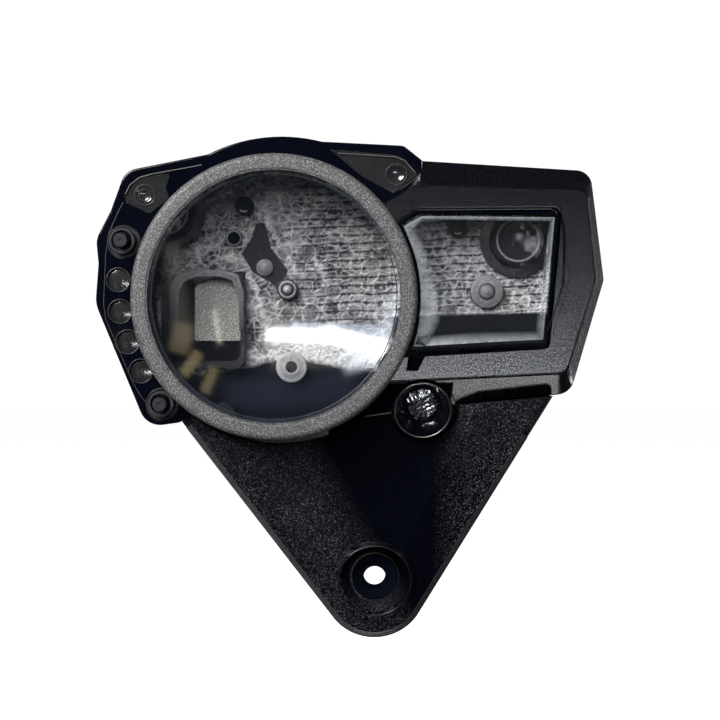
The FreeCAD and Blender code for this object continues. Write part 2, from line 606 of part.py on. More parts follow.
# ================================================================ lower shroud
def shroud_slab(offset):
    """Everything behind the shroud's sloping face, moved back by offset."""
    (z0, y0), (z1, y1) = SHROUD_TOP, SHROUD_LOW
    slope = (y1 - y0) / (z1 - z0)
    points = [V(-SLAB_HALF, y0 + slope * (z - z0) + offset, z) for z in SLAB]
    points += [V(-SLAB_HALF, -Y_RING, z) for z in reversed(SLAB)]
    return Part.Face(Part.makePolygon(points + [points[0]])).extrude(V(2 * SLAB_HALF, 0, 0))


def face_y(z):
    """Depth of the sloping face at height z."""
    (z0, y0), (z1, y1) = SHROUD_TOP, SHROUD_LOW
    return y0 + (y1 - y0) / (z1 - z0) * (z - z0)


def on_slope_edge(edge):
    """True for the long edges between the sloping face and the side walls."""
    centre, box = edge.CenterOfMass, edge.BoundBox
    return abs(centre.y - face_y(centre.z)) < 1.5 and box.YMax - box.YMin > 0.1 and edge.Length > 45


def valley(lower_by):
    """Tapering trough down the middle of the sloping face."""
    wires = []
    for z, floor0, floor1, brim0, brim1, depth in (VALLEY_TOP, VALLEY_LOW):
        y = face_y(z) + lower_by
        side0 = (brim0 - floor0) / depth * VALLEY_BRIM
        side1 = (brim1 - floor1) / depth * VALLEY_BRIM
        points = [V(floor0, y + depth, z), V(floor1, y + depth, z), V(brim1 + side1, y - VALLEY_BRIM, z),
                  V(brim0 + side0, y - VALLEY_BRIM, z)]
        wires.append(Part.makePolygon(points + [points[0]]))
    return Part.makeLoft(wires, True, True)


def shroud_shell():
    """Hollow triangle with the valley pressed into its sloping face."""
    outer = prism(SHROUD_OUTLINE, Y_RING - OVER, SHROUD_BACK_Y).common(shroud_slab(0))
    outer = rounded(outer, SHROUD_EDGE_R, on_slope_edge).cut(valley(0))
    hollow = prism(inset(SHROUD_OUTLINE, SHROUD_WALL), Y_RING, SHROUD_BACK_Y + OVER)
    hollow = hollow.common(shroud_slab(SHROUD_WALL))
    return outer.cut(hollow.cut(valley(SHROUD_WALL + VALLEY_RIB)))


def tail_shroud():
    pit = rod((0, 0), TAIL_RIM_R + TAIL_RIM_WALL, TAIL_CONE_Y - TAIL_FLANGE, SHROUD_BACK_Y)
    pit = pit.common(shroud_slab(-TAIL_RIM_RISE))
    shell = joined([shroud_shell().cut(body_region(-2 * SLIP, Y_RING - 2 * OVER, TAB_Y)), pit])
    corner = V(-SLAB_HALF, TAB_Y - 2 * OVER, SHROUD_CREST_Z)
    behind_case = Part.makeBox(2 * SLAB_HALF, Y_MOUNT - corner.y, SLAB[0] - SHROUD_CREST_Z, corner)
    shell = shell.cut(behind_case)
    shell = joined([shell, prism(TAB_OUTLINE, TAB_Y, TAB_Y + TAB_THICK)])
    cone = Part.makeCone(TAIL_RIM_R, TAIL_FLOOR_R, TAIL_FLOOR_Y - TAIL_CONE_Y, V(0, TAIL_CONE_Y, 0), REAR)
    tools = [cone, rod((0, 0), TAIL_RIM_R, Y_RING, TAIL_CONE_Y + FUSE), rod((0, 0), TAIL_NECK_R, Y_RING, OVER),
             shift_rod(SHIFT_SLEEVE_R + TAIL_PLAY, -SHIFT_R, SHIFT_LENGTH + SHIFT_CLEAR)]
    tools += [rod(centre, SCREW_CLEAR_R, TAB_Y - OVER, TAB_Y + TAB_THICK + OVER) for centre in SHROUD_SCREWS]
    for tool in tools:
        shell = shell.cut(tool)
    return shell


# ================================================================ lenses
def tach_lens():
    """Thin dome with a flat flange that the ring's shelf holds."""
    dome_r = (DOME_BASE_R ** 2 + DOME_RISE ** 2) / (2 * DOME_RISE)
    radii = [DOME_BASE_R * i / DOME_STEPS for i in range(DOME_STEPS + 1)]
    top = [(r, LENS_SHELF_Y - DOME_RISE + dome_r - math.sqrt(dome_r ** 2 - r ** 2)) for r in radii]
    back = [(r, y + LENS_THICK) for r, y in reversed(top)]
    flange = [(LENS_FLANGE_R, LENS_SHELF_Y), (LENS_FLANGE_R, LENS_SHELF_Y + LENS_THICK)]
    return lathe(DIAL, top + flange + back)


def display_lens():
    """Shallow clear box whose flange sits on a seal behind the gloss frame."""
    behind = Y_LOBE + FRAME_WALL + DISPLAY_SEAL
    front, rear = Y_LOBE - DISPLAY_RISE, behind + DISPLAY_FLANGE_THICK
    box = display_region(0, front, rear)
    flange = display_region(DISPLAY_FLANGE, behind, rear)
    lens = joined([box, flange]).cut(display_region(-DISPLAY_WALL, front + DISPLAY_WALL, rear + OVER))
    return lens.common(frame_region(SKIRT_WALL + LENS_CLEAR, Y_RING, Y_MOUNT))


def turn_lens(side, points):
    """Turn-signal lens: plate, flange, light guide, and a rim round the dimple over the lamp."""
    behind, face = Y_LOBE + FRAME_WALL, Y_LOBE + TURN_SINK
    x, z = TURN_LAMPS[side]
    plate = turn_region(points, 0, face, behind)
    flange = turn_region(points, TURN_FLANGE, behind, behind + TURN_FLANGE)
    flange = flange.common(frame_region(LENS_FLANGE, Y_RING, Y_MOUNT))
    guide = rod((x, z), TURN_LAMP_R, behind, behind + TURN_GUIDE)
    rim = tube((x, z), TURN_LAMP_R, TURN_DIMPLE_R, face - TURN_RIM_RISE, face + FUSE)
    lens = joined([plate, flange, guide, rim.common(turn_region(points, 0, Y_RING, Y_MOUNT))])
    dimple = Part.makeSphere(DIMPLE_BALL_R, V(x, face + DIMPLE_DEPTH - DIMPLE_BALL_R, z))
    return lens.cut(dimple.common(rod((x, z), TURN_DIMPLE_R, Y_RING, Y_MOUNT)))


def indicator_lens(centre):
    """Round lens with a shallow dome, held by a flange behind the frame."""
    front, behind = Y_LOBE + INDICATOR_SINK, Y_LOBE + FRAME_WALL
    shares = [i / INDICATOR_STEPS for i in range(INDICATOR_STEPS + 1)]
    top = [(INDICATOR_R * share, front - INDICATOR_RISE * (1 - share ** 2)) for share in shares]
    flange_r, rear = INDICATOR_R + LENS_FLANGE, behind + INDICATOR_FLANGE_THICK
    return lathe(centre, top + [(INDICATOR_R, behind), (flange_r, behind), (flange_r, rear), (0, rear)])


def shift_light_lens():
    """Domed lens at the bottom of the bowl."""
    disc = shift_rod(SHIFT_LENS_R, SHIFT_LENS_DEPTH, SHIFT_LENS_DEPTH + SHIFT_LENS_THICK)
    centre = SHIFT_RIM + SHIFT_BACK * (SHIFT_LENS_DEPTH - SHIFT_DOME_RISE + SHIFT_DOME_R)
    ball = Part.makeSphere(SHIFT_DOME_R, centre)
    reach = shift_rod(SHIFT_LENS_R - GAP, SHIFT_LENS_DEPTH - 2 * SHIFT_DOME_RISE, SHIFT_LENS_DEPTH + OVER)
    return joined([disc, ball.common(reach)])


# ================================================================ shift light body
def shift_light_housing():
    """Body of the shift light: conical bowl, seat of the lens and lamp chamber."""
    body = shift_rod(SHIFT_R, 0, SHIFT_LENGTH)
    bowl = Part.makeCone(SHIFT_BOWL_R, SHIFT_BOWL_END_R, SHIFT_LENS_DEPTH, SHIFT_RIM, SHIFT_BACK)
    seat = shift_rod(SHIFT_LENS_R, SHIFT_LENS_DEPTH - FUSE, SHIFT_LENS_DEPTH + SHIFT_LENS_THICK)
    chamber = shift_rod(SHIFT_LENS_R - SHIFT_SEAT, SHIFT_LENS_DEPTH + FUSE, SHIFT_LENGTH - SHIFT_END_WALL)
    return body.cut(bowl).cut(seat).cut(chamber)


# ================================================================ buttons
def button(centre):
    """Plunger with a retaining head behind the frame and a small dimple in its top."""
    head_y = WELL_FLOOR_Y + WELL_FLOOR_THICK + GAP
    stem = rod(centre, PLUNGER_R, PLUNGER_TOP_Y, head_y + PLUNGER_HEAD_THICK)
    stem = rounded(stem, PLUNGER_EDGE_R, lies_flat(PLUNGER_TOP_Y))
    head = rod(centre, PLUNGER_HEAD_R, head_y, head_y + PLUNGER_HEAD_THICK)
    dimple_y = PLUNGER_TOP_Y + PLUNGER_DIMPLE_DEPTH - PLUNGER_DIMPLE_R
    return joined([stem, head]).cut(Part.makeSphere(PLUNGER_DIMPLE_R, V(centre[0], dimple_y, centre[1])))


def button_boot(centre):
    """Rubber boot: flange in the well, collar and diaphragm round the plunger."""
    step, web = WELL_FLOOR_Y - BOOT_THICK, WELL_FLOOR_Y - 2 * BOOT_THICK
    flange_r, edge_y = WELL_R - LENS_PLAY, COLLAR_TOP_Y + BOOT_EDGE
    profile = [(PLUNGER_HOLE_R, WELL_FLOOR_Y), (flange_r, WELL_FLOOR_Y), (flange_r, step),
               (COLLAR_OUT_R, step), (COLLAR_OUT_R, edge_y), (COLLAR_OUT_R - BOOT_EDGE, COLLAR_TOP_Y),
               (COLLAR_IN_R + BOOT_EDGE, COLLAR_TOP_Y), (COLLAR_IN_R, edge_y), (COLLAR_IN_R, web),
               (PLUNGER_HOLE_R, web)]
    return lathe(centre, profile)


# ================================================================ seals, screws, grommets
def tach_lens_seal():
    y0 = LENS_SHELF_Y + LENS_THICK
    return tube(DIAL, LENS_FLANGE_R - SEAL_PLAY, COLLAR_R + SEAL_PLAY, y0, y0 + SEAL_THICK)


def display_lens_seal():
    y0 = Y_LOBE + FRAME_WALL
    band = display_region(DISPLAY_FLANGE - SEAL_IN, y0, y0 + DISPLAY_SEAL)
    band = band.cut(display_region(SLIP + SEAL_IN, y0 - OVER, y0 + DISPLAY_SEAL + OVER))
    return band.common(frame_region(SKIRT_WALL + LENS_CLEAR, Y_RING, Y_MOUNT))


def case_seal():
    """Cord seal in the groove round the rear case's flange."""
    inner, outer = TRACK[0] - SEAL_PLAY, TRACK[1] + SEAL_PLAY
    seal = seal_track(inner, outer, Y_PART, Y_PART + TRACK_DEPTH - SEAL_PLAY)
    return seal.cut(shift_rod(SHIFT_SLEEVE_R + SEAL_PLAY, -SHIFT_R, SHIFT_LENGTH + OVER))


def screws(centres, seat_y, tip_y):
    """Group of self-tapping screws, each with a cross recess, driven from the rear."""
    made = []
    long, narrow, floor = CROSS
    for x, z in centres:
        head = rod((x, z), SCREW_HEAD_R, seat_y, seat_y + SCREW_HEAD_H)
        head = rounded(head, SCREW_HEAD_EDGE_R, lies_flat(seat_y + SCREW_HEAD_H))
        shank = rod((x, z), SCREW_R, tip_y + SCREW_TIP, seat_y + FUSE)
        tip = Part.makeCone(SCREW_TIP_R, SCREW_R, SCREW_TIP, V(x, tip_y, z), REAR)
        screw = joined([head, shank, tip])
        for wide, high in ((long, narrow), (narrow, long)):
            corner = V(x - wide / 2, seat_y + floor, z - high / 2)
            screw = screw.cut(Part.makeBox(wide, SCREW_HEAD_H, high, corner))
        made.append(screw)
    return Part.makeCompound(made)


def socket_grommet(centre):
    """Rubber bush in an upper socket, with a flange on the mount plane."""
    seat, end = Y_MOUNT - SOCKET_FLANGE, Y_MOUNT - BUSH_LENGTH
    profile = [(GROMMET_HOLE_R, Y_MOUNT), (SOCKET_R, Y_MOUNT), (SOCKET_R, seat), (SOCKET_BORE_R, seat),
               (SOCKET_BORE_R, end), (GROMMET_HOLE_R, end)]
    return lathe(centre, profile)


def tail_grommet():
    """Rubber bush in the shroud's tip, with a flange on each side of the floor."""
    top = TAIL_FLOOR_Y - TAIL_FLANGE
    profile = [(TAIL_HOLE_R, Y_MOUNT), (TAIL_GROMMET_R, Y_MOUNT), (TAIL_GROMMET_R, SHROUD_BACK_Y),
               (TAIL_NECK_R, SHROUD_BACK_Y), (TAIL_NECK_R, TAIL_FLOOR_Y), (TAIL_GROMMET_R, TAIL_FLOOR_Y),
               (TAIL_GROMMET_R, top + BOOT_EDGE), (TAIL_GROMMET_R - BOOT_EDGE, top),
               (TAIL_HOLE_R + TAIL_HOLE_EDGE, top), (TAIL_HOLE_R, top + TAIL_HOLE_EDGE)]
    return lathe((0, 0), profile)


def main():
    os.makedirs("parts", exist_ok=True)
    save("front_cover", front_cover())
    save("inner_frame", inner_frame())
    save("rear_case", rear_case())
    save("port_cover", port_cover())
    save("tail_shroud", tail_shroud())
    save("tach_lens", tach_lens())
    save("display_lens", display_lens())
    save("turn_lens_left", turn_lens("left", TURN_LEFT))
    save("turn_lens_right", turn_lens("right", TURN_RIGHT))
    for number, centre in enumerate(INDICATORS, 1):
        save("indicator_lens_%d" % number, indicator_lens(centre))
    save("shift_light_lens", shift_light_lens())
    save("shift_light_housing", shift_light_housing())
    for name, centre in BUTTONS.items():
        save(name + "_button", button(centre))
        save(name + "_boot", button_boot(centre))
    save("case_seal", case_seal())
    save("tach_lens_seal", tach_lens_seal())
    save("display_lens_seal", display_lens_seal())
    save("case_screws", screws(CASE_SCREWS, HEAD_SEAT_Y, CASE_SCREW_TIP_Y))
    save("shroud_screws", screws(SHROUD_SCREWS, TAB_Y + TAB_THICK, SHROUD_SCREW_TIP_Y))
    for side, centre in SOCKETS.items():
        save("mount_grommet_" + side, socket_grommet(centre))
    save("tail_grommet", tail_grommet())


main()
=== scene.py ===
"""Blender scene of the instrument cluster housing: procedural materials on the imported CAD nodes,
a few sculpted pieces, a pale floor, soft studio lamps and a camera that looks square at the dial."""
import math

import bpy
import numpy as np
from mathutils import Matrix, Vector
from mathutils.bvhtree import BVHTree


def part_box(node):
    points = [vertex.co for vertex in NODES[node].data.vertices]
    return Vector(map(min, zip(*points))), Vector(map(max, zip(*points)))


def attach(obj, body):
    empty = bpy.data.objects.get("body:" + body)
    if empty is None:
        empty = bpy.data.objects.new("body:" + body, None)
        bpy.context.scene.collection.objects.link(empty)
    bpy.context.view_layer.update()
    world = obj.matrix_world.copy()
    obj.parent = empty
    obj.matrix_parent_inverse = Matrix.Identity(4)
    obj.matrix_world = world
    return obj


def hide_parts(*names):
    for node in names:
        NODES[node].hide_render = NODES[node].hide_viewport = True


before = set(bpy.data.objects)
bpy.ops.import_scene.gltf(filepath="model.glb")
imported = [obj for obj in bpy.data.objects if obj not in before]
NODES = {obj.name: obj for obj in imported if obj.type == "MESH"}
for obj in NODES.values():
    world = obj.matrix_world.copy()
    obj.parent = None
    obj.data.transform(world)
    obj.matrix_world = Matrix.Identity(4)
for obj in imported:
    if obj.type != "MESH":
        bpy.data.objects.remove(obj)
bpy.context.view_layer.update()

MM = 0.001
DIAL_X, DIAL_Z = -42.5, 124.0            # centre of the dial
DIAL = (DIAL_X * MM, DIAL_Z * MM)
LOBE_Y, FACE_Y = -46.0, -52.0            # front planes of the gloss frame and the right-hand cover
TILT = math.radians(15)                  # the shift light looks this far up


# ================================================================ shader helpers
class Tree:
    """A material's node tree with short calls for the nodes used here."""

    def __init__(self, name):
        self.material = bpy.data.materials.new(name)
        self.material.use_nodes = True
        self.nodes = self.material.node_tree.nodes
        self.links = self.material.node_tree.links
        self.nodes.clear()
        self.coords = self.nodes.new("ShaderNodeTexCoord").outputs["Object"]

    def add(self, kind, inputs=None, **settings):
        node = self.nodes.new(kind)
        for key, value in settings.items():
            setattr(node, key, value)
        for key, value in (inputs or {}).items():
            self.plug(node.inputs[key], value)
        return node

    def plug(self, socket, value):
        if isinstance(value, bpy.types.NodeSocket):
            self.links.new(value, socket)
        else:
            socket.default_value = value

    def math(self, operation, a, b=0.0, c=0.0, clamp=False):
        node = self.add("ShaderNodeMath", operation=operation, use_clamp=clamp)
        for socket, value in zip(node.inputs, (a, b, c)):
            self.plug(socket, value)
        return node.outputs[0]

    def noise(self, scale, detail=2.0, rough=0.5, distortion=0.0, vector=None):
        return self.add("ShaderNodeTexNoise", {"Vector": vector or self.coords, "Scale": scale,
                        "Detail": detail, "Roughness": rough, "Distortion": distortion}).outputs["Fac"]

    def voronoi(self, scale, feature="F1", vector=None):
        return self.add("ShaderNodeTexVoronoi", {"Vector": vector or self.coords, "Scale": scale},
                        feature=feature).outputs["Distance"]

    def spread(self, value, low, high, to_low=0.0, to_high=1.0):
        """Map Range: low..high becomes to_low..to_high, clamped."""
        return self.add("ShaderNodeMapRange", {"Value": value, "From Min": low, "From Max": high,
                        "To Min": to_low, "To Max": to_high}).outputs["Result"]

    def mix(self, share, first, second):
        node = self.add("ShaderNodeMix", data_type="RGBA")
        for socket, value in ((node.inputs[0], share), (node.inputs[6], first), (node.inputs[7], second)):
            self.plug(socket, value if not isinstance(value, tuple) else (*value, 1.0)[:4])
        return node.outputs[2]

    def bump(self, height, strength, distance, normal=None):
        inputs = {"Height": height, "Strength": strength, "Distance": distance}
        if normal is not None:
            inputs["Normal"] = normal
        return self.add("ShaderNodeBump", inputs).outputs["Normal"]

    def axes(self):
        split = self.add("ShaderNodeSeparateXYZ", {"Vector": self.coords})
        return split.outputs["X"], split.outputs["Y"], split.outputs["Z"]

    def mirror_share(self, gain):
        """Share of light that the front of a clear wall mirrors; its far side mirrors nothing."""
        fresnel = self.add("ShaderNodeFresnel", {"IOR": 1.58}).outputs[0]
        front = self.math("SUBTRACT", 1.0, self.add("ShaderNodeNewGeometry").outputs["Backfacing"])
        return self.math("MULTIPLY", self.math("MULTIPLY", fresnel, gain), front, clamp=True)

    def blend(self, share, first, second):
        """Mix of two shaders."""
        return self.add("ShaderNodeMixShader", {0: share, 1: first, 2: second}).outputs[0]

    def cloud(self, veil):
        """Uneven share of haze around veil."""
        return self.spread(self.noise(30.0, 4.0, 0.6), 0.3, 0.8, veil * 0.5, veil * 1.5)

    def radius_from(self, x, z):
        """Distance in metres from an axis along Y through (x, z)."""
        px, _, pz = self.axes()
        dx, dz = self.math("SUBTRACT", px, x), self.math("SUBTRACT", pz, z)
        return self.math("SQRT", self.math("ADD", self.math("MULTIPLY", dx, dx),
                                           self.math("MULTIPLY", dz, dz)))

    def finish(self, shader):
        out = self.nodes.new("ShaderNodeOutputMaterial")
        self.links.new(shader, out.inputs["Surface"])
        return self.material

    def principled(self, **inputs):
        named = {key.replace("_", " ").title(): value for key, value in inputs.items()}
        named = {("Specular IOR Level" if key == "Specular" else "IOR" if key == "Ior" else key): value
                 for key, value in named.items()}
        return self.add("ShaderNodeBsdfPrincipled", named).outputs["BSDF"]


def give(material, *nodes):
    """Put one material on these CAD nodes or pieces."""
    for node in nodes:
        target = NODES[node] if isinstance(node, str) else node
        target.data.materials.clear()
        target.data.materials.append(material)


# ================================================================ materials
def grained_plastic(name, dark, light, rough, bump, ring=None):
    """Spark-eroded black plastic: fine sparkling grain over a soft mottling. ring = (dark, light, rough) is
    the coarser finish of the dial ring, whose much lighter colours are a painted sheen on the same black
    plastic."""
    t = Tree(name)
    fine = t.noise(1500.0, 2.0, 0.75)
    sharp = t.voronoi(1250.0)
    mottle = t.noise(70.0, 3.0, 0.5)
    specks = t.spread(t.math("ADD", fine, t.math("MULTIPLY", sharp, -0.35)), 0.30, 0.58)
    specks = t.math("MULTIPLY", specks, t.spread(mottle, 0.25, 0.75, 0.65, 1.1), clamp=True)
    colour = t.mix(specks, dark, light)
    grit = t.spread(t.noise(1500.0, 1.0, 0.5), 0.42, 0.62)
    sheen = t.spread(grit, 0.0, 1.0, 0.36, 1.0)
    roughness = t.spread(fine, 0.35, 0.68, rough - 0.04, rough + 0.05)
    depth = bump
    if ring:
        distance = t.radius_from(*DIAL)
        on_ring = t.math("MULTIPLY", t.spread(distance, 0.0603, 0.0598), t.spread(distance, 0.0527, 0.0530))
        # painted sheen: the ring takes much lighter colours than the rest of the black cover
        colour = t.mix(on_ring, colour, t.mix(specks, ring[0], ring[1]))
        roughness = t.math("ADD", roughness, t.math("MULTIPLY", on_ring, ring[2] - rough))
        depth = t.math("ADD", bump, t.math("MULTIPLY", on_ring, 3.0 * bump))
    height = t.math("MULTIPLY", t.math("ADD", grit, t.math("MULTIPLY", sharp, 0.6)), depth)
    normal = t.bump(height, 1.0, 1.0)
    return t.finish(t.principled(base_color=colour, roughness=roughness, specular=sheen, normal=normal))


def shroud_plastic(name, dark, light, rough, bump):
    """The cover's grain, with painted light: brighter along the shroud's flanks than down its shaded middle.
    """
    t = Tree(name)
    x, _, z = t.axes()
    fine = t.noise(1700.0, 1.0, 0.5)
    specks = t.spread(fine, 0.54, 0.72)
    middle = t.math("ADD", t.math("MULTIPLY", z, 0.28), 0.012)
    centre_line = t.math("ADD", t.math("MULTIPLY", z, -0.28), 0.019)
    offset = t.math("ABSOLUTE", t.math("SUBTRACT", x, centre_line))
    # painted light along the flanks, painted shade down the middle
    flank_light = t.spread(t.math("SUBTRACT", offset, middle), -0.006, 0.010, 0.035, 1.0)
    flank_light = t.math("MULTIPLY", flank_light, t.spread(t.noise(28.0, 3.0), 0.25, 0.7, 0.5, 1.1))
    colour = t.mix(t.math("MULTIPLY", specks, flank_light, clamp=True), dark, light)
    normal = t.bump(fine, 1.0, bump)
    shine = t.spread(flank_light, 0, 1, 0.04, 0.30)
    return t.finish(t.principled(base_color=colour, roughness=rough, specular=shine, normal=normal))


def gloss_plastic(name, colour, rough, wave=0.1, dull_low=False):
    """Polished black plastic with faint moulding waviness and handling haze. dull_low takes the shine off
    the part below the windows, where it would mirror the reflection card as a white sliver."""
    t = Tree(name)
    polish = t.spread(t.axes()[2], 0.098, 0.104, 0.03, 0.5) if dull_low else 0.5
    haze = t.noise(38.0, 4.0, 0.6)
    dust = t.noise(900.0, 2.0, 0.7)
    roughness = t.spread(haze, 0.35, 0.7, rough, rough + 0.08)
    base = t.mix(t.spread(dust, 0.66, 0.80), colour, tuple(c * 2.5 + 0.003 for c in colour))
    normal = t.bump(t.noise(60.0, 2.0), wave, 0.0004)
    return t.finish(t.principled(base_color=base, roughness=roughness, specular=polish, normal=normal))


def clear_body(t, tint, scuff_scale, rough, gain):
    """Shader of clear plastic that sees through and mirrors its surroundings, with fine scuffs."""
    through = t.add("ShaderNodeBsdfTransparent", {"Color": (*tint, 1.0)}).outputs[0]
    scuffs = t.spread(t.noise(scuff_scale, 5.0, 0.7, 1.0), 0.3, 0.75, rough, rough + 0.03)
    gloss = t.add("ShaderNodeBsdfGlossy", {"Color": (1, 1, 1, 1), "Roughness": scuffs}).outputs[0]
    return t.blend(t.mirror_share(1.7 * gain), through, gloss)


def clear_plastic(name, tint, veil, rough, gain=1.0):
    """Clear moulded plastic that holds a little haze."""
    t = Tree(name)
    body = clear_body(t, tint, 220.0, rough, gain)
    haze = t.principled(base_color=(0.5, 0.52, 0.56, 1.0), roughness=0.6, specular=0.3)
    return t.finish(t.blend(t.cloud(veil), body, haze))


def rubber(name, colour, sheen=0.35):
    """Matte moulded rubber with a little bloom."""
    t = Tree(name)
    bloom = t.noise(160.0, 4.0, 0.6)
    base = t.mix(t.spread(bloom, 0.4, 0.75), colour, tuple(c * 2.0 for c in colour))
    normal = t.bump(t.noise(2600.0, 3.0, 0.6), 0.3, 0.0001)
    return t.finish(t.principled(base_color=base, roughness=t.spread(bloom, 0.3, 0.7, 0.5, 0.68),
                                 specular=sheen, normal=normal))


def steel(name):
    t = Tree(name)
    brushed = t.noise(900.0, 4.0, 0.6)
    base = t.mix(brushed, (0.36, 0.34, 0.30), (0.52, 0.50, 0.45))
    rough = t.spread(brushed, 0.3, 0.7, 0.28, 0.45)
    return t.finish(t.principled(base_color=base, metallic=1.0, roughness=rough))


def shaded(name, dark, light, rough_dark, rough_light, tint):
    """Moulded skin whose brightness follows the relief, from the mesh's own "shade" values, which hold
    painted light and shade.
    """
    t = Tree(name)
    shade = t.add("ShaderNodeAttribute", attribute_name="shade").outputs["Fac"]
    flecks = t.spread(t.noise(700.0, 3.0, 0.7), 0.3, 0.7, 0.65, 1.35)
    tone = t.math("MULTIPLY", shade, flecks, clamp=True)
    colour = t.mix(tone, dark, light)
    colour = t.mix(t.math("MULTIPLY", t.spread(t.noise(35.0, 2.0), 0.45, 0.7), 0.35), colour,
                   t.mix(tone, dark, tint))
    normal = t.bump(t.noise(900.0, 3.0, 0.6), 0.35, 0.0002)
    rough = t.spread(shade, 0, 0.4, rough_dark, rough_light)
    return t.finish(t.principled(base_color=colour, roughness=rough,
                                 specular=t.spread(shade, 0.0, 0.3, 0.12, 0.5), normal=normal))


def rimmed_lens(name, haze_colour, veil, rough):
    """Clear lens that turns hazy where the mesh's "haze" values rise towards its rim."""
    t = Tree(name)
    body = clear_body(t, (0.96, 0.965, 0.97), 150.0, rough, 1.0)
    haze = t.principled(base_color=(*haze_colour, 1.0), roughness=0.5, specular=0.3)
    edge = t.add("ShaderNodeAttribute", attribute_name="haze").outputs["Fac"]
    edge = t.math("MULTIPLY", edge, t.spread(t.noise(260.0, 4.0, 0.6), 0.25, 0.75, 0.5, 1.2))
    return t.finish(t.blend(t.math("ADD", t.cloud(veil), edge, clamp=True), body, haze))


COVER = grained_plastic("textured_cover", (0.0015, 0.0015, 0.003), (0.009, 0.009, 0.011), 0.205, 0.000008,
                        ((0.050, 0.050, 0.052), (0.27, 0.27, 0.272), 0.5))
TAIL = shroud_plastic("textured_tail", (0.0008, 0.0012, 0.0032), (0.13, 0.13, 0.14), 0.36, 0.00006)
GLOSS = gloss_plastic("gloss_frame", (0.0015, 0.002, 0.005), 0.035, dull_low=True)
CASE = gloss_plastic("case_black", (0.006, 0.006, 0.009), 0.27, 0.3)
BOWL = gloss_plastic("shift_body_black", (0.0015, 0.0015, 0.003), 0.10)
PORT = grained_plastic("port_plate", (0.22, 0.22, 0.20), (0.72, 0.72, 0.67), 0.5, 0.00006)
FLOOR = shaded("case_floor", (0.004, 0.005, 0.010), (0.68, 0.68, 0.71), 0.45, 0.32, (0.64, 0.62, 0.52))
DIAL_LENS = rimmed_lens("dial_lens_clear", (0.20, 0.26, 0.38), 0.004, 0.040)
SCREEN = rimmed_lens("display_lens_clear", (0.62, 0.66, 0.72), 0.006, 0.05)
LAMP = clear_plastic("lamp_lens", (0.42, 0.43, 0.47), 0.025, 0.13, 0.7)
BUTTON = rubber("button_plastic", (0.011, 0.012, 0.015), 0.25)
BOOT = rubber("boot_rubber", (0.022, 0.022, 0.028))
SEAL = rubber("seal_rubber", (0.012, 0.012, 0.013))
RING_EDGE = gloss_plastic("ring_edge", (0.030, 0.031, 0.034), 0.25)
# pale plastic for the frame lines: painted highlights
HIGHLIGHT_EDGE = gloss_plastic("painted_highlight_edge", (0.10, 0.10, 0.095), 0.30)
# grain, with brightness from the shade values, which hold painted light and shade
EDGE = shaded("shroud_edge_grain_and_painted_light", (0.001, 0.001, 0.003), (0.05, 0.05, 0.053), 0.4, 0.34, (0.08, 0.08, 0.08))
GROMMET = rubber("grommet_rubber", (0.0006, 0.0012, 0.004), 0.06)
STEEL = steel("zinc_steel")

give(COVER, "front_cover")
give(TAIL, "tail_shroud")
give(GLOSS, "inner_frame")
give(CASE, "rear_case")
give(BOWL, "shift_light_housing")
give(PORT, "port_cover")
give(clear_plastic("display_clear", (0.96, 0.965, 0.97), 0.006, 0.03), "display_lens")
give(DIAL_LENS, "tach_lens")
give(LAMP, "turn_lens_left", "turn_lens_right", "indicator_lens_1", "indicator_lens_2",
     "indicator_lens_3", "indicator_lens_4")
give(BUTTON, "select_button", "adjust_button")
give(BOOT, "select_boot", "adjust_boot")
give(SEAL, "case_seal", "tach_lens_seal", "display_lens_seal")
give(GROMMET, "mount_grommet_left", "mount_grommet_right", "tail_grommet")
give(STEEL, "case_screws", "shroud_screws")


# ================================================================ pieces
def piece(name, vertices, faces, material, body="housing", smooth=True):
    """New mesh object that rides on a body; vertices are in millimetres."""
    mesh = bpy.data.meshes.new(name)
    mesh.from_pydata([(x * MM, y * MM, z * MM) for x, y, z in vertices], [], faces)
    mesh.materials.append(material)
    mesh.polygons.foreach_set("use_smooth", [smooth] * len(mesh.polygons))
    mesh.update()
    obj = bpy.data.objects.new(name, mesh)
    bpy.context.scene.collection.objects.link(obj)
    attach(obj, body)
    return obj


def value_noise(x, z, pitch, seed):
    """Smooth random field of -1..1 with features about pitch wide."""
    table = np.random.default_rng(seed).uniform(-1, 1, (64, 64))
    u, v = x / pitch, z / pitch
    i, j = np.floor(u).astype(int), np.floor(v).astype(int)
    fu, fv = u - i, v - j
    fu, fv = fu * fu * (3 - 2 * fu), fv * fv * (3 - 2 * fv)
    pick = lambda a, b: table[(i + a) % 64, (j + b) % 64]
    low = pick(0, 0) * (1 - fu) + pick(1, 0) * fu
    high = pick(0, 1) * (1 - fu) + pick(1, 1) * fu
    return low * (1 - fv) + high * fv


def cells(x, z, pitch, seed):
    """Distances to the nearest and second nearest of a jittered grid of points."""
    jitter = np.random.default_rng(seed).uniform(0.1, 0.9, (64, 64, 2))
    u, v = x / pitch, z / pitch
    i, j = np.floor(u).astype(int), np.floor(v).astype(int)
    found = []
    for a in (-1, 0, 1):
        for b in (-1, 0, 1):
            spot = jitter[(i + a) % 64, (j + b) % 64]
            found.append(np.hypot(i + a + spot[..., 0] - u, j + b + spot[..., 1] - v) * pitch)
    found = np.sort(np.array(found), axis=0)
    return found[0], found[1]


def grid_faces(rows, columns, closed=True, flipped=False):
    """Quads between neighbouring rows of points; closed joins each row's end to its start."""
    faces = []
    for i in range(rows - 1):
        for k in range(columns if closed else columns - 1):
            a, b = i * columns + k, i * columns + (k + 1) % columns
            faces.append((a, a + columns, b + columns, b) if flipped else (a, b, b + columns, a + columns))
    return faces


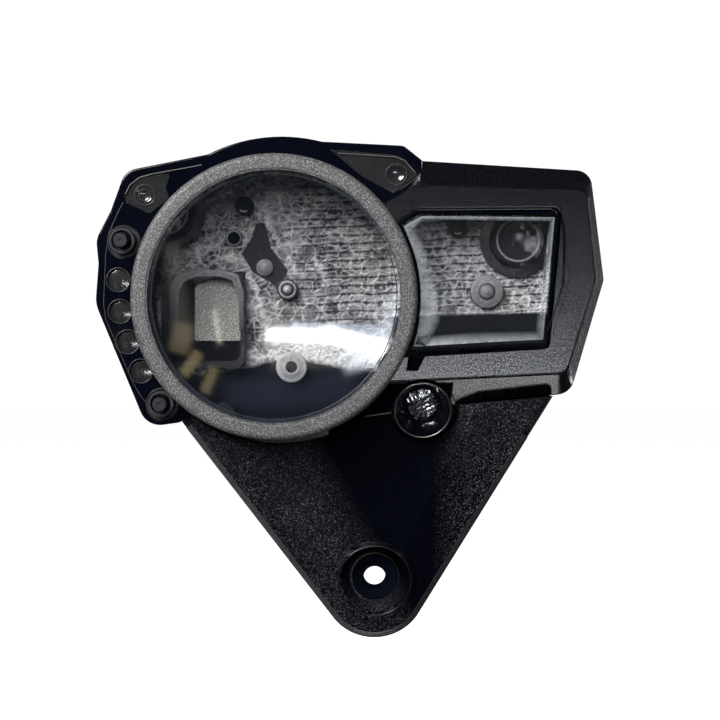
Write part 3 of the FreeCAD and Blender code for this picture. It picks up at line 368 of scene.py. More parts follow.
def shaded_piece(name, vertices, faces, shade, material):
    """Piece on the housing with one brightness for each vertex."""
    obj = piece(name, vertices, faces, material)
    attribute(obj, "shade", shade)


def bell(value, width):
    return np.exp(-(value / width) ** 2)


def attribute(obj, name, values):
    obj.data.attributes.new(name, "FLOAT", "POINT").data.foreach_set("value", np.asarray(values, "f").ravel())


FLOOR_Y = -16.0
ROW_PITCH = 3.8
EJECTORS = [(-30.5, 145.2, 4.2), (-40.2, 145.6, 3.3), (-28.5, 118.8, 3.9), (-9.1, 119.2, 3.2),
            (-38.5, 118.4, 3.2), (-0.8, 140.1, 3.3), (-71.7, 166.1, 4.0), (-49.4, 103.2, 3.6),
            (33.0, 118.5, 3.6), (58.0, 125.0, 3.4), (-18.5, 128.0, 3.4), (-86.0, 143.0, 3.8)]
DARK_PATCH = [(-53.0, 158.5), (-49.0, 158.5), (-46.0, 147.0), (-38.6, 137.5), (-40.5, 133.5), (-45.0, 131.0),
              (-54.4, 136.7), (-59.5, 145.0), (-55.0, 152.0)]
SOCKETS = [(-91.8, 162.4), (63.0, 150.4)]


def within(x, z, corners):
    """1 inside a polygon and 0 outside it."""
    crossings = np.zeros(x.shape, dtype=int)
    for (ax, az), (bx, bz) in zip(corners, corners[1:] + corners[:1]):
        spans = (az > z) != (bz > z)
        crossings += spans & (x < (bx - ax) * (z - az) / (bz - az) + ax)
    return (crossings % 2).astype(float)


# chains of pale ribs on the floor
RIBS = [[(-70.1, 142.9), (-65.0, 143.6), (-59.7, 142.0)],
        [(-48.8, 161.1), (-44.7, 152.9), (-38.5, 143.5), (-35.1, 136.5)],
        [(-56.5, 135.0), (-53.5, 130.0), (-51.5, 124.6), (-50.0, 117.0)],
        [(-79.5, 147.5), (-77.5, 142.0)], [(-26.0, 141.0), (-22.0, 133.0)]]


def from_segment(x, z, start, end):
    """Distance from a line segment."""
    (ax, az), (bx, bz) = start, end
    along = ((x - ax) * (bx - ax) + (z - az) * (bz - az)) / ((bx - ax) ** 2 + (bz - az) ** 2)
    along = np.clip(along, 0, 1)
    return np.hypot(x - ax - along * (bx - ax), z - az - along * (bz - az))


def relief_fields(x, z):
    """Height in millimetres and brightness 0..1 of the crazed skin at floor points. The brightness holds
    painted light and shade: highlights on raised ridges and rims, shade in grooves, a painted shadow under an
    edge, and painted fill light.
    """
    warp_x = x + 0.9 * value_noise(x, z, 4.0, 3) + 0.5 * value_noise(x, z, 1.8, 4)
    warp_z = z + 0.9 * value_noise(x, z, 4.0, 5) + 0.5 * value_noise(x, z, 1.8, 6)
    near, second = cells(warp_x * 0.72, warp_z, 3.8, 7)
    small, small_second = cells(warp_z, warp_x, 2.8, 8)
    ridge, crease = bell(second - near, 0.42), bell(small_second - small, 0.26)
    arc = bell(near - 1.3, 0.28)
    height = 0.42 * ridge + 0.26 * arc + 0.2 * crease
    # painted highlights: the raised ridges, arcs and creases are made lighter
    shade = 0.15 + 0.38 * ridge + 0.22 * arc + 0.15 * crease
    shade += 0.16 * value_noise(x, z, 2.2, 12) + 0.14 * value_noise(x * 0.6, z, 5.5, 13)
    row = (z - 0.05 * x + 0.5 * value_noise(x, z, 9.0, 9)) % ROW_PITCH - ROW_PITCH / 2
    to_right = np.clip((x + 44) / 16, 0, 1) * np.clip((z - 108) / 5, 0, 1)
    # row grooves on the right: painted shade in each groove and a painted highlight along its upper side
    height -= 0.5 * bell(row, 0.42) * to_right
    shade -= 0.34 * bell(row, 0.36) * to_right
    shade += 0.16 * bell(row - 0.8, 0.4) * to_right
    band = 1.0 - within(x, z, DARK_PATCH)
    dial = x < 8
    # painted shadow edge: below it the floor is left dark and nearly flat, standing in for shade from the
    # ring's lower wall and the display window's lower edge
    painted_shadow_edge = np.where(dial, 93.5 + 2.5 * np.cos((x + 38) / 15) + 1.2 * value_noise(x, z, 6.0, 10),
                        116.2 + 0.03 * x)
    out_of_painted_shadow = np.clip((z - painted_shadow_edge) / np.where(dial, 2.4, 0.9), 0, 1)
    # painted fill light: the floor is brightened at the left, in the display window and towards the top
    bright = (1.25 - 0.25 * np.clip((x + 92) / 62, 0, 1)) * np.where(dial, 1.0, 1.6)
    bright = bright * (1.05 + 0.15 * np.clip((z - 142) / 26, 0, 1))
    height = height * band * (0.04 + 0.96 * out_of_painted_shadow)
    shade = np.clip(shade, 0.03, 1) * bright
    shade = np.where(band < 1, 0.035, shade) * out_of_painted_shadow
    for chain in RIBS:
        for start, end in zip(chain, chain[1:]):
            shade += 0.26 * bell(from_segment(x, z, start, end), 1.1) * (band > 0)
    # painted glow round the bright reflection in the dial lens
    lit = bell(np.clip(x + 24, -60, 60), 26) * bell(z - 99.5, 6.5) * dial
    shade = shade * (1 + 1.3 * lit) + 0.22 * lit * out_of_painted_shadow
    # painted highlight: a pale line just up from the painted shadow edge in the display window
    shade += 0.35 * bell(z - painted_shadow_edge - 1.4, 0.7) * ~dial
    # ejector marks: darker faces, and painted highlights on their raised rims
    for ex, ez, r in EJECTORS:
        away = np.hypot(x - ex, z - ez)
        height = np.where(away < r, height * 0.3 + 0.1, height) + 0.34 * bell(away - r, 0.26) * out_of_painted_shadow
        shade = np.where(away < r - 0.3, shade * 0.55 + 0.05 * out_of_painted_shadow, shade)
        shade = shade + 0.22 * bell(away - r, 0.3) * out_of_painted_shadow
    return height + 0.3, np.clip(shade, 0, 1)


def floor_relief():
    """Wrinkled skin on the rear case's floor: crazing, flow lines and ejector marks."""
    step = 0.36
    x, z = np.meshgrid(np.arange(-98, 84, step), np.arange(71, 181, step), indexing="ij")
    height, shade = relief_fields(x, z)
    disc = np.hypot(x + 41.2, z - 124.1) < 56.5
    right = (x > -6) & (x < 82) & (z > 82) & (z < 174) & (x < 76 + 0.30 * np.minimum(z - 84, 48))
    inside = disc | right
    for sx, sz in SOCKETS:
        inside &= np.hypot(x - sx, z - sz) > 13.6
    inside &= ~((x > -94) & (x < -57.8) & (z > 94.4) & (z < 134.0 + 0.08 * (x + 94)))
    index = np.full(x.shape, -1)
    index[inside] = np.arange(inside.sum())
    vertices = np.stack([x[inside], FLOOR_Y - height[inside], z[inside]], axis=1).tolist()
    corners = np.stack([index[:-1, :-1], index[1:, :-1], index[1:, 1:], index[:-1, 1:]], axis=-1)
    corners = corners[(corners >= 0).all(axis=-1)]
    shaded_piece("floor_relief", vertices, corners.tolist(), shade[inside], FLOOR)


def socket_end(name, sx, sz, seed):
    """Closed front end of a mount socket: a shallow dish with a sprue mark in it, made to look glossy by
    painted highlights.
    """
    rings, sides, radius = 40, 96, 11.2
    r, turn = np.meshgrid(np.linspace(0.01, radius, rings), np.arange(sides) * math.tau / sides,
                          indexing="ij")
    x, z = sx + r * np.cos(turn), sz + r * np.sin(turn)
    height = 0.5 + 1.0 * bell(r - 9.2, 0.9) + 0.5 * bell(np.hypot(x - sx - 1.5, z - sz - 2.0) - 1.0, 0.8)
    height += 0.35 * value_noise(x, z, 5.0, seed) + 0.12 * value_noise(x, z, 1.6, seed + 1)
    height *= np.clip((radius - r) / 0.8, 0.1, 1)
    # painted highlights: a bright spot by the sprue, a bright ring near the rim, and pale patches growing
    # towards the right
    shade = 0.02 + 0.95 * bell(np.hypot(x - sx - 0.6, z - sz - 1.6), 1.3) + 0.45 * bell(r - 9.3, 0.4)
    shade += 0.60 * np.clip(value_noise(x, z, 2.4, seed + 2), 0, 1) * np.clip((x - sx + 3) / 6, 0, 1)
    vertices = np.stack([x.ravel(), -24.0 - height.ravel(), z.ravel()], axis=1).tolist()
    shaded_piece(name, vertices, grid_faces(rings, sides), np.clip(shade, 0, 1), FLOOR)


def stud(name, x, z, y, profile, sides=64):
    """Moulded stud or mark turned from (radius, height, brightness) steps, standing on y, with painted light
    that makes each step brighter on its upper left side.
    """
    vertices, shade = [], []
    for radius, height, bright in profile:
        for k in range(sides):
            turn = k * math.tau / sides
            vertices.append((x + radius * math.cos(turn), y - height, z + radius * math.sin(turn)))
            # painted light: every step is brighter on its upper left side
            shade.append(bright * (1 + 0.35 * math.cos(turn - 2.2)))
    faces = grid_faces(len(profile), sides, flipped=True)
    shaded_piece(name, vertices, faces, shade, FLOOR)


def studs():
    """Screw posts, plugs and marks on the case floor, with their pale rims and a painted glint on each plug.
    """
    stud("post_low", -36.9, 94.5, -22.05, [(0.05, 0.05, 0.0), (2.5, 0.05, 0.0), (2.7, 0.25, 0.55),
         (3.4, 0.35, 0.40), (4.6, 0.3, 0.34), (5.9, 0.3, 0.48), (6.6, 0.25, 0.60), (6.85, 0.02, 0.1)])
    stud("post_middle", -38.7, 128.8, -21.05, [(0.05, 1.3, 0.62), (1.2, 1.2, 0.45), (1.9, 0.8, 0.30),
         (2.1, 0.1, 0.04), (2.9, 0.1, 0.05), (3.2, 0.5, 0.50), (3.7, 0.5, 0.35), (4.1, 0.3, 0.06),
         (4.65, 0.02, 0.03)])
    stud("post_right", 49.6, 127.9, -20.55, [(0.05, 1.0, 0.30), (2.4, 0.9, 0.26), (3.2, 0.6, 0.12),
         (3.5, 0.1, 0.03), (4.1, 0.2, 0.30), (6.2, 0.3, 0.24), (6.9, 0.35, 0.36), (7.35, 0.02, 0.03)])
    stud("mark_left", -62.8, 151.9, -17.3, [(0.05, 0.02, 0.0), (2.6, 0.05, 0.0), (3.0, 0.5, 0.40),
         (3.5, 0.45, 0.22), (3.9, 0.02, 0.05)])
    stud("mark_middle", -49.0, 138.7, -17.3, [(0.05, 0.9, 0.34), (1.6, 0.85, 0.30), (3.0, 0.5, 0.20),
         (3.5, 0.55, 0.34), (3.9, 0.05, 0.05)])
    for name, x, z in (("plug_left", -57.9, 165.9), ("plug_right", 36.7, 156.1)):
        stud(name, x, z, -21.5, [(0.05, 1.5, 0.01), (1.4, 1.4, 0.01), (2.6, 1.0, 0.02), (3.5, 0.5, 0.03),
             (4.1, 0.02, 0.0)])
        # pale bead painted along each plug's lower side as a glint: a painted highlight
        turns = [math.radians(degrees) for degrees in range(232, 308, 6)]
        bead(name + "_glint", [(x + 2.7 * math.cos(a), -22.55, z + 2.7 * math.sin(a)) for a in turns], 0.5,
             PORT, closed=False)


PORT_OUTER = [(-91.1, 104.0), (-91.1, 118.0), (-90.7, 130.7), (-87.0, 135.6), (-79.0, 137.6), (-68.1, 137.6),
              (-60.4, 135.6), (-57.9, 128.0), (-57.7, 112.0)]
PORT_INNER = [(-86.4, 106.0), (-86.4, 118.0), (-86.2, 128.0), (-84.0, 132.2), (-78.0, 134.3), (-68.1, 134.3),
              (-63.0, 132.4), (-60.2, 124.0), (-59.9, 110.0)]
PORT_SHADE = [0.03, 0.05, 0.16, 0.24, 0.28, 0.28, 0.24, 0.20, 0.08]
PORT_STEPS = ((0.0, 0.0, 0.3), (0.12, 0.5, 1.5), (0.35, 0.55, 0.9), (0.7, 0.5, 0.8),
              (0.9, 0.45, 1.4), (1.0, 0.0, 0.3))     # share of the way in, height, brightness
PORT_CUTS = 70


def port_band():
    """Raised, pale frame round the connector port, darkest at its lower left and brightest across its top,
    with painted highlights along its two raised edges.
    """
    vertices, shade = [], []
    for k in np.linspace(0, len(PORT_OUTER) - 1, PORT_CUTS):
        i = min(int(k), len(PORT_OUTER) - 2)
        blend = k - i
        outer, inner = (np.array(path[i]) * (1 - blend) + np.array(path[i + 1]) * blend
                        for path in (PORT_OUTER, PORT_INNER))
        bright = PORT_SHADE[i] * (1 - blend) + PORT_SHADE[i + 1] * blend
        for share, lift, gain in PORT_STEPS:
            x, z = outer * (1 - share) + inner * share
            vertices.append((x, -23.02 - lift, z))
            # painted highlights: gain brightens the band's two raised edges
            shade.append(bright * gain)
    faces = grid_faces(PORT_CUTS, len(PORT_STEPS), closed=False, flipped=True)
    shaded_piece("port_band", vertices, faces, shade, FLOOR)


# the cover's groove right of the display, mouldings round the lamps and buttons, and frame edges made paler
# as painted highlights
COVER_GROOVE = [(79.0, 156.0), (79.3, 148.0), (79.4, 140.5), (78.9, 129.0), (75.8, 119.5), (72.7, 110.2)]
LENS_RINGS = [("turn_ring_left", (-98.2, 167.8), (4.4, 2.5)), ("turn_ring_right", (8.9, 176.7), (4.4,)),
              ("indicator_ring_a", (-109.5, 131.7), (5.1,)), ("indicator_ring_b", (-108.7, 118.3), (5.1,)),
              ("indicator_ring_c", (-105.5, 105.3), (5.1,)), ("indicator_ring_d", (-99.9, 92.9), (5.1,)),
              ("select_ring", (-107.4, 148.0), (6.6,)), ("adjust_ring", (-90.9, 78.9), (6.6,))]
FRAME_LINES = [("lobe_line", LOBE_Y, [(-107.4, 164.6), (-109.4, 160.8), (-113.4, 151.7), (-114.8, 142.5),
                                     (-115.7, 121.6), (-114.8, 115.2), (-103.4, 88.3), (-100.0, 82.4),
                                     (-94.8, 76.2), (-87.0, 73.2)]),
               ("frame_line_left", -46.05, [(-106.5, 168.0), (-104.6, 172.0), (-100.6, 175.2), (-94.5, 176.9),
                                            (-82.5, 179.0), (-74.0, 180.6)]),
               ("frame_line_low", -46.1, [(-4.5, 73.6), (0.0, 74.2), (6.6, 75.2)]),
               ("frame_line_right", -46.05, [(-16.0, 185.6), (-4.0, 184.9), (8.8, 184.0), (12.6, 182.4),
                                             (17.0, 177.2)])]


def lines():
    """Thin moulded edges that catch the light; the frame lines are also made paler than the frame, as painted
    highlights.
    """
    for name, (x, z), radii in LENS_RINGS:
        for k, radius in enumerate(radii):
            bead(f"{name}_{k + 1}", ring_points((x, LOBE_Y, z), radius, (1, 0, 0), (0, 0, 1), 72), 0.2,
                 RING_EDGE)
    bead("cover_groove", [(x, FACE_Y, z) for x, z in COVER_GROOVE], 0.36, BOWL,
         closed=False)
    for name, y, points in FRAME_LINES:
        # the lobe line and the other frame lines are paler than the gloss frame: painted highlights
        edge = RING_EDGE if name == "lobe_line" else HIGHLIGHT_EDGE
        bead(name, [(x, y, z) for x, z in points], 0.22, edge, closed=False)


def bead(name, points, radius, material, closed=True):
    """Thin round ridge along a chain of points in millimetres."""
    points = [Vector(point) for point in points]
    count, sides = len(points), 8
    vertices, faces = [], []
    for i, point in enumerate(points):
        ahead = points[(i + 1) % count] if closed or i + 1 < count else point
        behind = points[i - 1] if closed or i else point
        along = (ahead - behind).normalized()
        out = along.cross(Vector((0, 1, 0))).normalized()
        up = along.cross(out)
        for k in range(sides):
            angle = k * math.tau / sides
            vertices.append(tuple(point + (out * math.cos(angle) + up * math.sin(angle)) * radius))
    for i in range(count if closed else count - 1):
        for k in range(sides):
            a, b, n = i * sides, (i + 1) % count * sides, (k + 1) % sides
            faces.append((a + k, a + n, b + n, b + k))
    piece(name, vertices, faces, material)


def ring_points(centre, radius, across, up, count=160):
    return [Vector(centre) + Vector(across) * radius * math.cos(k * math.tau / count)
            + Vector(up) * radius * math.sin(k * math.tau / count) for k in range(count)]


def surface(node):
    """Function giving the y in millimetres of a CAD node's front surface at (x, z), or None."""
    cad = NODES[node]
    mesh = cad.data
    place = cad.matrix_world
    tree = BVHTree.FromPolygons([place @ vertex.co for vertex in mesh.vertices],
                                [polygon.vertices[:] for polygon in mesh.polygons])

    def find(x, z):
        hit = tree.ray_cast(Vector((x * MM, -0.1, z * MM)), Vector((0, 1, 0)))[0]
        return hit.y / MM if hit else None
    return find


TIP, TIP_R = (-0.2, -3.75), 22.8         # round tip of the shroud
LEAN_LEFT, LEAN_RIGHT = math.radians(216.1), math.radians(330.0)
SIDE_LEFT, SIDE_RIGHT = 108.0, 94.0      # lengths of the straight sides
# brightness steps: painted highlights on the crests, painted shade in the groove inside them
BAND = [(0.1, -0.2, 0.5), (0.5, 0.22, 0.9), (1.1, 0.34, 0.8), (2.0, 0.30, 0.6), (2.6, 0.24, 0.9),
        (2.9, 0.02, 0.0), (3.4, -0.05, 0.0)]     # distance in from the edge, height, brightness


def shroud_edge():
    """Rolled rim along the shroud's two sides and tip, with painted light: lighter on its crests than in the
    groove inside them, and lighter where it faces left and along the bottom of the tip.
    """
    path = []
    for lean, along, length, turned in ((LEAN_LEFT, -1, SIDE_LEFT, False), (LEAN_RIGHT, 1, SIDE_RIGHT, True)):
        out = (math.cos(lean), math.sin(lean))
        run = (along * abs(out[1]), abs(out[0]))
        foot = (TIP[0] + TIP_R * out[0], TIP[1] + TIP_R * out[1])
        side = [((foot[0] + run[0] * t, foot[1] + run[1] * t), out) for t in np.arange(0, length, 2.0)]
        if turned:
            for a in np.arange(LEAN_LEFT + 0.05, LEAN_RIGHT, 0.05):
                across, up = math.cos(a), math.sin(a)
                path.append(((TIP[0] + TIP_R * across, TIP[1] + TIP_R * up), (across, up)))
        path += side if turned else side[::-1]
    find = surface("tail_shroud")
    vertices, shade = [], []
    for (x, z), (ox, oz) in path:
        ground = find(x - 1.8 * ox, z - 1.8 * oz)
        ground = vertices[-1][1] if ground is None else ground
        # painted light: brighter where the rim faces left and along the bottom of the tip
        lit_share = 0.5 - 0.5 * ox + (0.35 if oz < -0.9 else 0.0)
        for inward, lift, bright in BAND:
            vertices.append((x - inward * ox, ground - lift, z - inward * oz))
            shade.append(bright * (0.25 + 0.75 * lit_share))
    faces = grid_faces(len(path), len(BAND), closed=False, flipped=True)
    shaded_piece("shroud_edge", vertices, faces, shade, EDGE)


def pit_rim():
    """Rolled edge of the shroud's recess round the lower mount."""
    find = surface("tail_shroud")
    points = []
    for k in range(120):
        turn = k * math.tau / 120
        x, z = 15.9 * math.cos(turn), 15.9 * math.sin(turn)
        y = find(x, z)
        if y is not None:
            points.append((x, y + 0.05, z))
    bead("mount_recess_rim", points, 0.42, CASE)


def dial_lens():
    """Smooth domed lens, two millimetres thick, hazy only at its very edge."""
    low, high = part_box("tach_lens")
    centre, radius = (low + high) / 2 / MM, (high.x - low.x) / 2 / MM
    front, sides, rings, dome = low.y / MM, 144, 48, 404.0
    vertices, haze, faces = [], [], []
    for back in (0.0, 2.0):
        for i in range(rings + 1):
            r = max(radius * i / rings, 0.02)
            for k in range(sides):
                turn = k * math.tau / sides
                vertices.append((centre.x + r * math.cos(turn), front + back + r * r / (2 * dome),
                                 centre.z + r * math.sin(turn)))
                haze.append(0.10 * max(0.0, (r - 50.2) / 2.6) ** 1.5 * (1 - back / 2))
    half = (rings + 1) * sides
    for start in (0, half):
        for i in range(rings):
            for k in range(sides):
                a, b, n = start + i * sides, start + (i + 1) * sides, (k + 1) % sides
                faces.append((a + k, a + n, b + n, b + k) if start else (a + k, b + k, b + n, a + n))
    rim, back_rim = rings * sides, half + rings * sides
    faces += [(rim + k, back_rim + k, back_rim + (k + 1) % sides, rim + (k + 1) % sides)
              for k in range(sides)]
    obj = piece("dial_lens_smooth", vertices, faces, DIAL_LENS)
    attribute(obj, "haze", haze)
    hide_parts("tach_lens")


# corners of the display lens with how wide and how strong its hazy rim is there; the side towards the dial
# follows a circle
SCREEN_CORNERS = [(12.0, 154.4, 4.5, 0.45), (19.6, 158.6, 1.6, 0.40), (75.9, 158.1, 1.8, 0.32),
                  (73.4, 131.0, 3.6, 0.34), (70.9, 106.3, 3.6, 0.30), (45.0, 105.0, 4.6, 0.36),
                  (16.2, 103.3, 4.2, 0.66)]
SCREEN_ARC_R = 61.9
SCREEN_ARC = [(104.5, 5.0, 0.74), (109, 7.0, 0.80), (115, 8.8, 0.80), (121, 8.2, 0.74), (127, 7.2, 0.66),
              (133, 6.2, 0.58), (139, 5.4, 0.50), (145, 4.8, 0.46), (150, 4.4, 0.44)]


def screen_haze():
    """Hazy moulded rim of the display lens, just under its front face."""
    arc = [(DIAL_X + math.sqrt(SCREEN_ARC_R ** 2 - (z - DIAL_Z) ** 2), z, wide, strong)
           for z, wide, strong in SCREEN_ARC]
    chain = SCREEN_CORNERS + arc
    outline = []
    for start, end in zip(chain, chain[1:] + chain[:1]):
        count = max(1, int(math.dist(start[:2], end[:2]) / 2))
        outline += [np.array(start) + (np.array(end) - np.array(start)) * k / count for k in range(count)]
    outline = np.array(outline)
    ahead, behind = np.roll(outline, -1, axis=0), np.roll(outline, 1, axis=0)
    run = ahead[:, :2] - behind[:, :2]
    inward = np.stack([run[:, 1], -run[:, 0]], axis=1) / np.hypot(run[:, 0], run[:, 1])[:, None]
    vertices, haze = [], []
    shares = (0.0, 0.2, 0.45, 0.7, 1.0)
    for share in shares:
        spots = outline[:, :2] + inward * outline[:, 2:3] * share
        vertices += [(x, -48.47, z) for x, z in spots]
        haze += list(outline[:, 3] * (1 - share))
    obj = piece("display_lens_rim", vertices, grid_faces(len(shares), len(outline)), SCREEN)
    attribute(obj, "haze", haze)


def shift_facets():
    """Prismatic lens of the shift light: rows of small pyramids on a shallow dome."""
    t = Tree("prism_chrome")
    cloudy = t.noise(500.0, 3.0)
    tone = t.mix(cloudy, (0.55, 0.56, 0.58), (0.9, 0.9, 0.92))
    metal = t.finish(t.principled(base_color=tone, metallic=1.0,
                                  roughness=t.spread(cloudy, 0.3, 0.7, 0.05, 0.16)))
    low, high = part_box("shift_light_lens")
    radius, pitch = 7.0, 1.9
    centre = (low + high) / 2 / MM
    across, back = Vector((1, 0, 0)), Vector((0, math.cos(TILT), math.sin(TILT)))
    up = Vector((0, -math.sin(TILT), math.cos(TILT)))
    spin = math.radians(24)
    u_dir = across * math.cos(spin) + up * math.sin(spin)
    v_dir = up * math.cos(spin) - across * math.sin(spin)
    draw = np.random.default_rng(12)
    vertices, faces = [], []

    def at(u, v, lift):
        away = math.hypot(u, v)
        if away > radius:
            u, v, away = u * radius / away, v * radius / away, radius
        depth = 0.6 - 2.3 * (1 - (away / radius) ** 2) * 0.55 - lift
        return tuple(centre + u_dir * u + v_dir * v + back * depth)

    count = math.ceil(radius / pitch)
    for i in range(-count, count + 1):
        for j in range(-count, count + 1):
            u, v = i * pitch, j * pitch
            if math.hypot(u, v) > radius + 0.2:
                continue
            start = len(vertices)
            tip_u, tip_v = draw.uniform(-0.5, 0.5, 2)
            for half, lift in ((0.50 * pitch, 0.0), (0.42 * pitch, 0.05), (0.30 * pitch, 0.55)):
                for a, b in ((-half, -half), (half, -half), (half, half), (-half, half)):
                    lean = 0.3 * (tip_u * a + tip_v * b) if lift > 0.5 else 0.0
                    vertices.append(at(u + a, v + b, lift + lean))
            for row in (0, 4):
                faces += [(start + row + k, start + row + (k + 1) % 4, start + row + 4 + (k + 1) % 4,
                           start + row + 4 + k) for k in range(4)]
            faces.append((start + 8, start + 9, start + 10, start + 11))
    obj = piece("shift_light_prisms", vertices, faces, metal, smooth=False)
    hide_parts("shift_light_lens")


def round_beads():
    """Rims round the shift light and inside the dial's ring."""
    up = (0, -math.sin(TILT), math.cos(TILT))
    bead("shift_light_rim", ring_points((20.1, -46.5, 76.2), 11.95, (1, 0, 0), up), 0.24, STEEL)
    for name, y, across, radius, material in (("dial_inner_bead", -56.9, 51.4, 0.2, RING_EDGE),
                                              ("dial_edge_bead", -59.2, 53.1, 0.35, COVER)):
        bead(name, ring_points((DIAL_X, y, DIAL_Z), across, (1, 0, 0), (0, 0, 1)), radius, material)


floor_relief()
socket_end("socket_end_right", 63.0, 150.4, 30)
socket_end("socket_end_left", -91.8, 162.4, 40)
studs()
port_band()
lines()
pit_rim()
shroud_edge()
dial_lens()
screen_haze()
shift_facets()
round_beads()


# ================================================================ studio
def lamp(name, place, target, size, power, colour=(1, 1, 1)):
    """Rectangular lamp of size (wide, high) that faces the target."""
    data = bpy.data.lights.new(name, "AREA")
    data.shape = "RECTANGLE"
    data.size, data.size_y = size
    data.energy = power
    data.color = colour
    obj = bpy.data.objects.new(name, data)
    bpy.context.scene.collection.objects.link(obj)
    obj.location = place
    obj.rotation_euler = (Vector(target) - Vector(place)).to_track_quat("-Z", "Y").to_euler()
    obj.visible_camera = False
    return obj


CARD_Y = -1.55
CARD_GAIN = 10.86       # card metres per metre of dial lens, seen from the camera
CARD_SHIFT = (0.330, -1.157)
# centre x, z and half sizes in mm on the lens, turn in degrees, edge softness in mm, colour, strength
GLOWS = [((-33, 107.8), (12.6, 3.0), -2, 0.8, (1.0, 1.0, 1.0), 15.0),
         ((-8, 105.0), (13.5, 3.6), -15, 1.0, (1.0, 1.0, 1.0), 15.0),
         ((-16, 108.8), (20.0, 3.6), -3, 1.4, (0.72, 0.83, 1.0), 5.0),
         ((-20, 100.6), (23.0, 6.0), 4, 3.4, (1.0, 0.96, 0.86), 0.55),
         ((-4, 99.0), (9.0, 5.0), 18, 3.0, (0.80, 0.88, 1.0), 4.5),
         ((5.5, 108.0), (1.8, 16.0), -9, 2.4, (0.85, 0.91, 1.0), 5.0),
         ((-66.6, 111.5), (0.7, 7.4), 8, 0.6, (1.0, 0.93, 0.70), 4.0),
         ((-82.5, 106.5), (4.0, 6.6), -14, 2.2, (0.75, 0.60, 0.36), 1.2),
         ((-78.5, 95.5), (2.0, 6.2), -38, 1.2, (0.85, 0.68, 0.36), 1.8),
         ((-70.5, 88.5), (1.8, 6.0), -24, 1.0, (0.85, 0.68, 0.36), 1.6),
         ((-84.0, 126.0), (3.0, 22.0), 10, 3.0, (0.62, 0.60, 0.48), 0.6),
         ((-36, 84), (26.0, 6.0), 3, 5.0, (0.40, 0.58, 1.0), 0.16)]


def reflection_card():
    """Painted card behind the camera: what the domed lens mirrors."""
    t = Tree("card_glows")
    x, _, z = t.axes()
    u = t.math("DIVIDE", t.math("SUBTRACT", x, CARD_SHIFT[0]), CARD_GAIN * MM)
    v = t.math("DIVIDE", t.math("SUBTRACT", z, CARD_SHIFT[1]), CARD_GAIN * MM)
    wobble = t.math("MULTIPLY", t.math("SUBTRACT", t.noise(4.0, 3.0), 0.5), 0.6)
    total = None
    for (cx, cz), (wide, tall), degrees, soft, colour, power in GLOWS:
        turn = math.radians(degrees)
        du, dv = t.math("SUBTRACT", u, cx), t.math("ADD", t.math("SUBTRACT", v, cz), wobble)
        along = t.math("ADD", t.math("MULTIPLY", du, math.cos(turn)), t.math("MULTIPLY", dv, math.sin(turn)))
        across = t.math("SUBTRACT", t.math("MULTIPLY", dv, math.cos(turn)),
                        t.math("MULTIPLY", du, math.sin(turn)))
        mask = t.math("MULTIPLY", t.spread(t.math("ABSOLUTE", along), wide + soft, wide - soft / 2),
                      t.spread(t.math("ABSOLUTE", across), tall + soft / 2, tall - soft / 2))
        light = t.add("ShaderNodeEmission", {"Color": (*colour, 1.0),
                                             "Strength": t.math("MULTIPLY", mask, power)}).outputs[0]
        total = light if total is None else t.add("ShaderNodeAddShader", {0: total, 1: light}).outputs[0]
    mesh = bpy.data.meshes.new("reflection_card")
    left, right, low, high = -0.95, 0.62, -0.55, 0.95
    mesh.from_pydata([(left, CARD_Y, low), (right, CARD_Y, low), (right, CARD_Y, high), (left, CARD_Y, high)],
                     [], [(0, 1, 2, 3)])
    mesh.materials.append(t.finish(total))
    card = bpy.data.objects.new("reflection_card", mesh)
    bpy.context.scene.collection.objects.link(card)
    card.visible_camera = False
    card.visible_diffuse = False
    card.visible_shadow = False


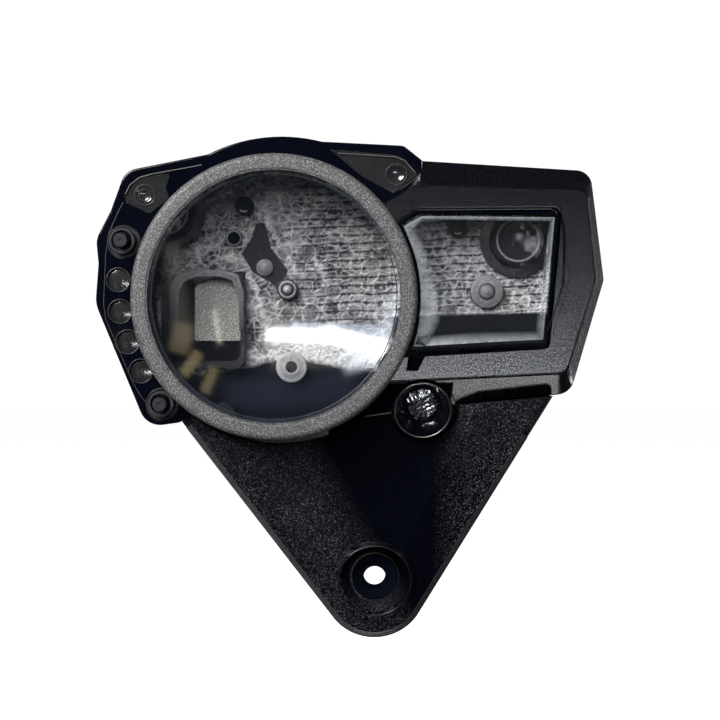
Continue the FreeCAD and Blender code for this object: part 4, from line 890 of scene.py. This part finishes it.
def surroundings():
    """White background for the camera, and the faint light that it gives the housing."""
    world = bpy.data.worlds.new("studio")
    bpy.context.scene.world = world
    world.use_nodes = True
    nodes, links = world.node_tree.nodes, world.node_tree.links
    nodes.clear()
    seen = nodes.new("ShaderNodeBackground")
    seen.inputs["Color"].default_value = (1, 1, 1, 1)
    seen.inputs["Strength"].default_value = 1.05
    fill = nodes.new("ShaderNodeBackground")
    fill.inputs["Color"].default_value = (0.72, 0.80, 1.0, 1)
    fill.inputs["Strength"].default_value = 0.04
    path = nodes.new("ShaderNodeLightPath")
    mixer = nodes.new("ShaderNodeMixShader")
    out = nodes.new("ShaderNodeOutputWorld")
    links.new(path.outputs["Is Camera Ray"], mixer.inputs[0])
    links.new(fill.outputs[0], mixer.inputs[1])
    links.new(seen.outputs[0], mixer.inputs[2])
    links.new(mixer.outputs[0], out.inputs["Surface"])


def lamps():
    """Soft area lamps. The wash adds light without a reflection of its own."""
    aim = (-0.01, -0.05, 0.11)
    lamp("key", (-0.60, -0.85, 0.70), aim, (0.6, 0.4), 17, (1.0, 0.985, 0.95))
    wash = lamp("wash", (-0.22, -1.05, 0.42), aim, (0.5, 0.4), 9.0)
    wash.visible_glossy = False
    lamp("under", (0.17, 0.10, -0.80), aim, (0.22, 0.4), 0.85)
    lamp("right", (0.85, 0.30, 0.05), aim, (0.4, 0.6), 11.0)


def pale_floor():
    """Plain pale floor below the housing."""
    mesh = bpy.data.meshes.new("floor")
    wide, low = 6.0, -0.12
    mesh.from_pydata([(-wide, -wide, low), (wide, -wide, low), (wide, wide, low), (-wide, wide, low)],
                     [], [(0, 1, 2, 3)])
    floor = bpy.data.objects.new("floor", mesh)
    bpy.context.scene.collection.objects.link(floor)
    t = Tree("pale_floor")
    pale = t.mix(t.noise(3.0), (0.90, 0.90, 0.90), (0.93, 0.93, 0.93))
    mesh.materials.append(t.finish(t.principled(base_color=pale, roughness=0.9, specular=0.1,
                                                emission_color=(1, 1, 1, 1), emission_strength=0.95)))
    floor.visible_diffuse = False
    floor.visible_glossy = False


def square_camera():
    """Camera that looks square at the dial, 0.6 m in front of its ring."""
    data = bpy.data.cameras.new("camera")
    data.sensor_width = 36.0
    data.lens = 72.15
    camera = bpy.data.objects.new("camera", data)
    bpy.context.scene.collection.objects.link(camera)
    camera.location = (-0.0066, -0.660, 0.0976)
    camera.rotation_euler = (math.radians(90), 0, 0)
    bpy.context.scene.camera = camera
    bpy.context.scene.view_settings.view_transform = "Standard"


surroundings()
lamps()
reflection_card()
pale_floor()
square_camera()
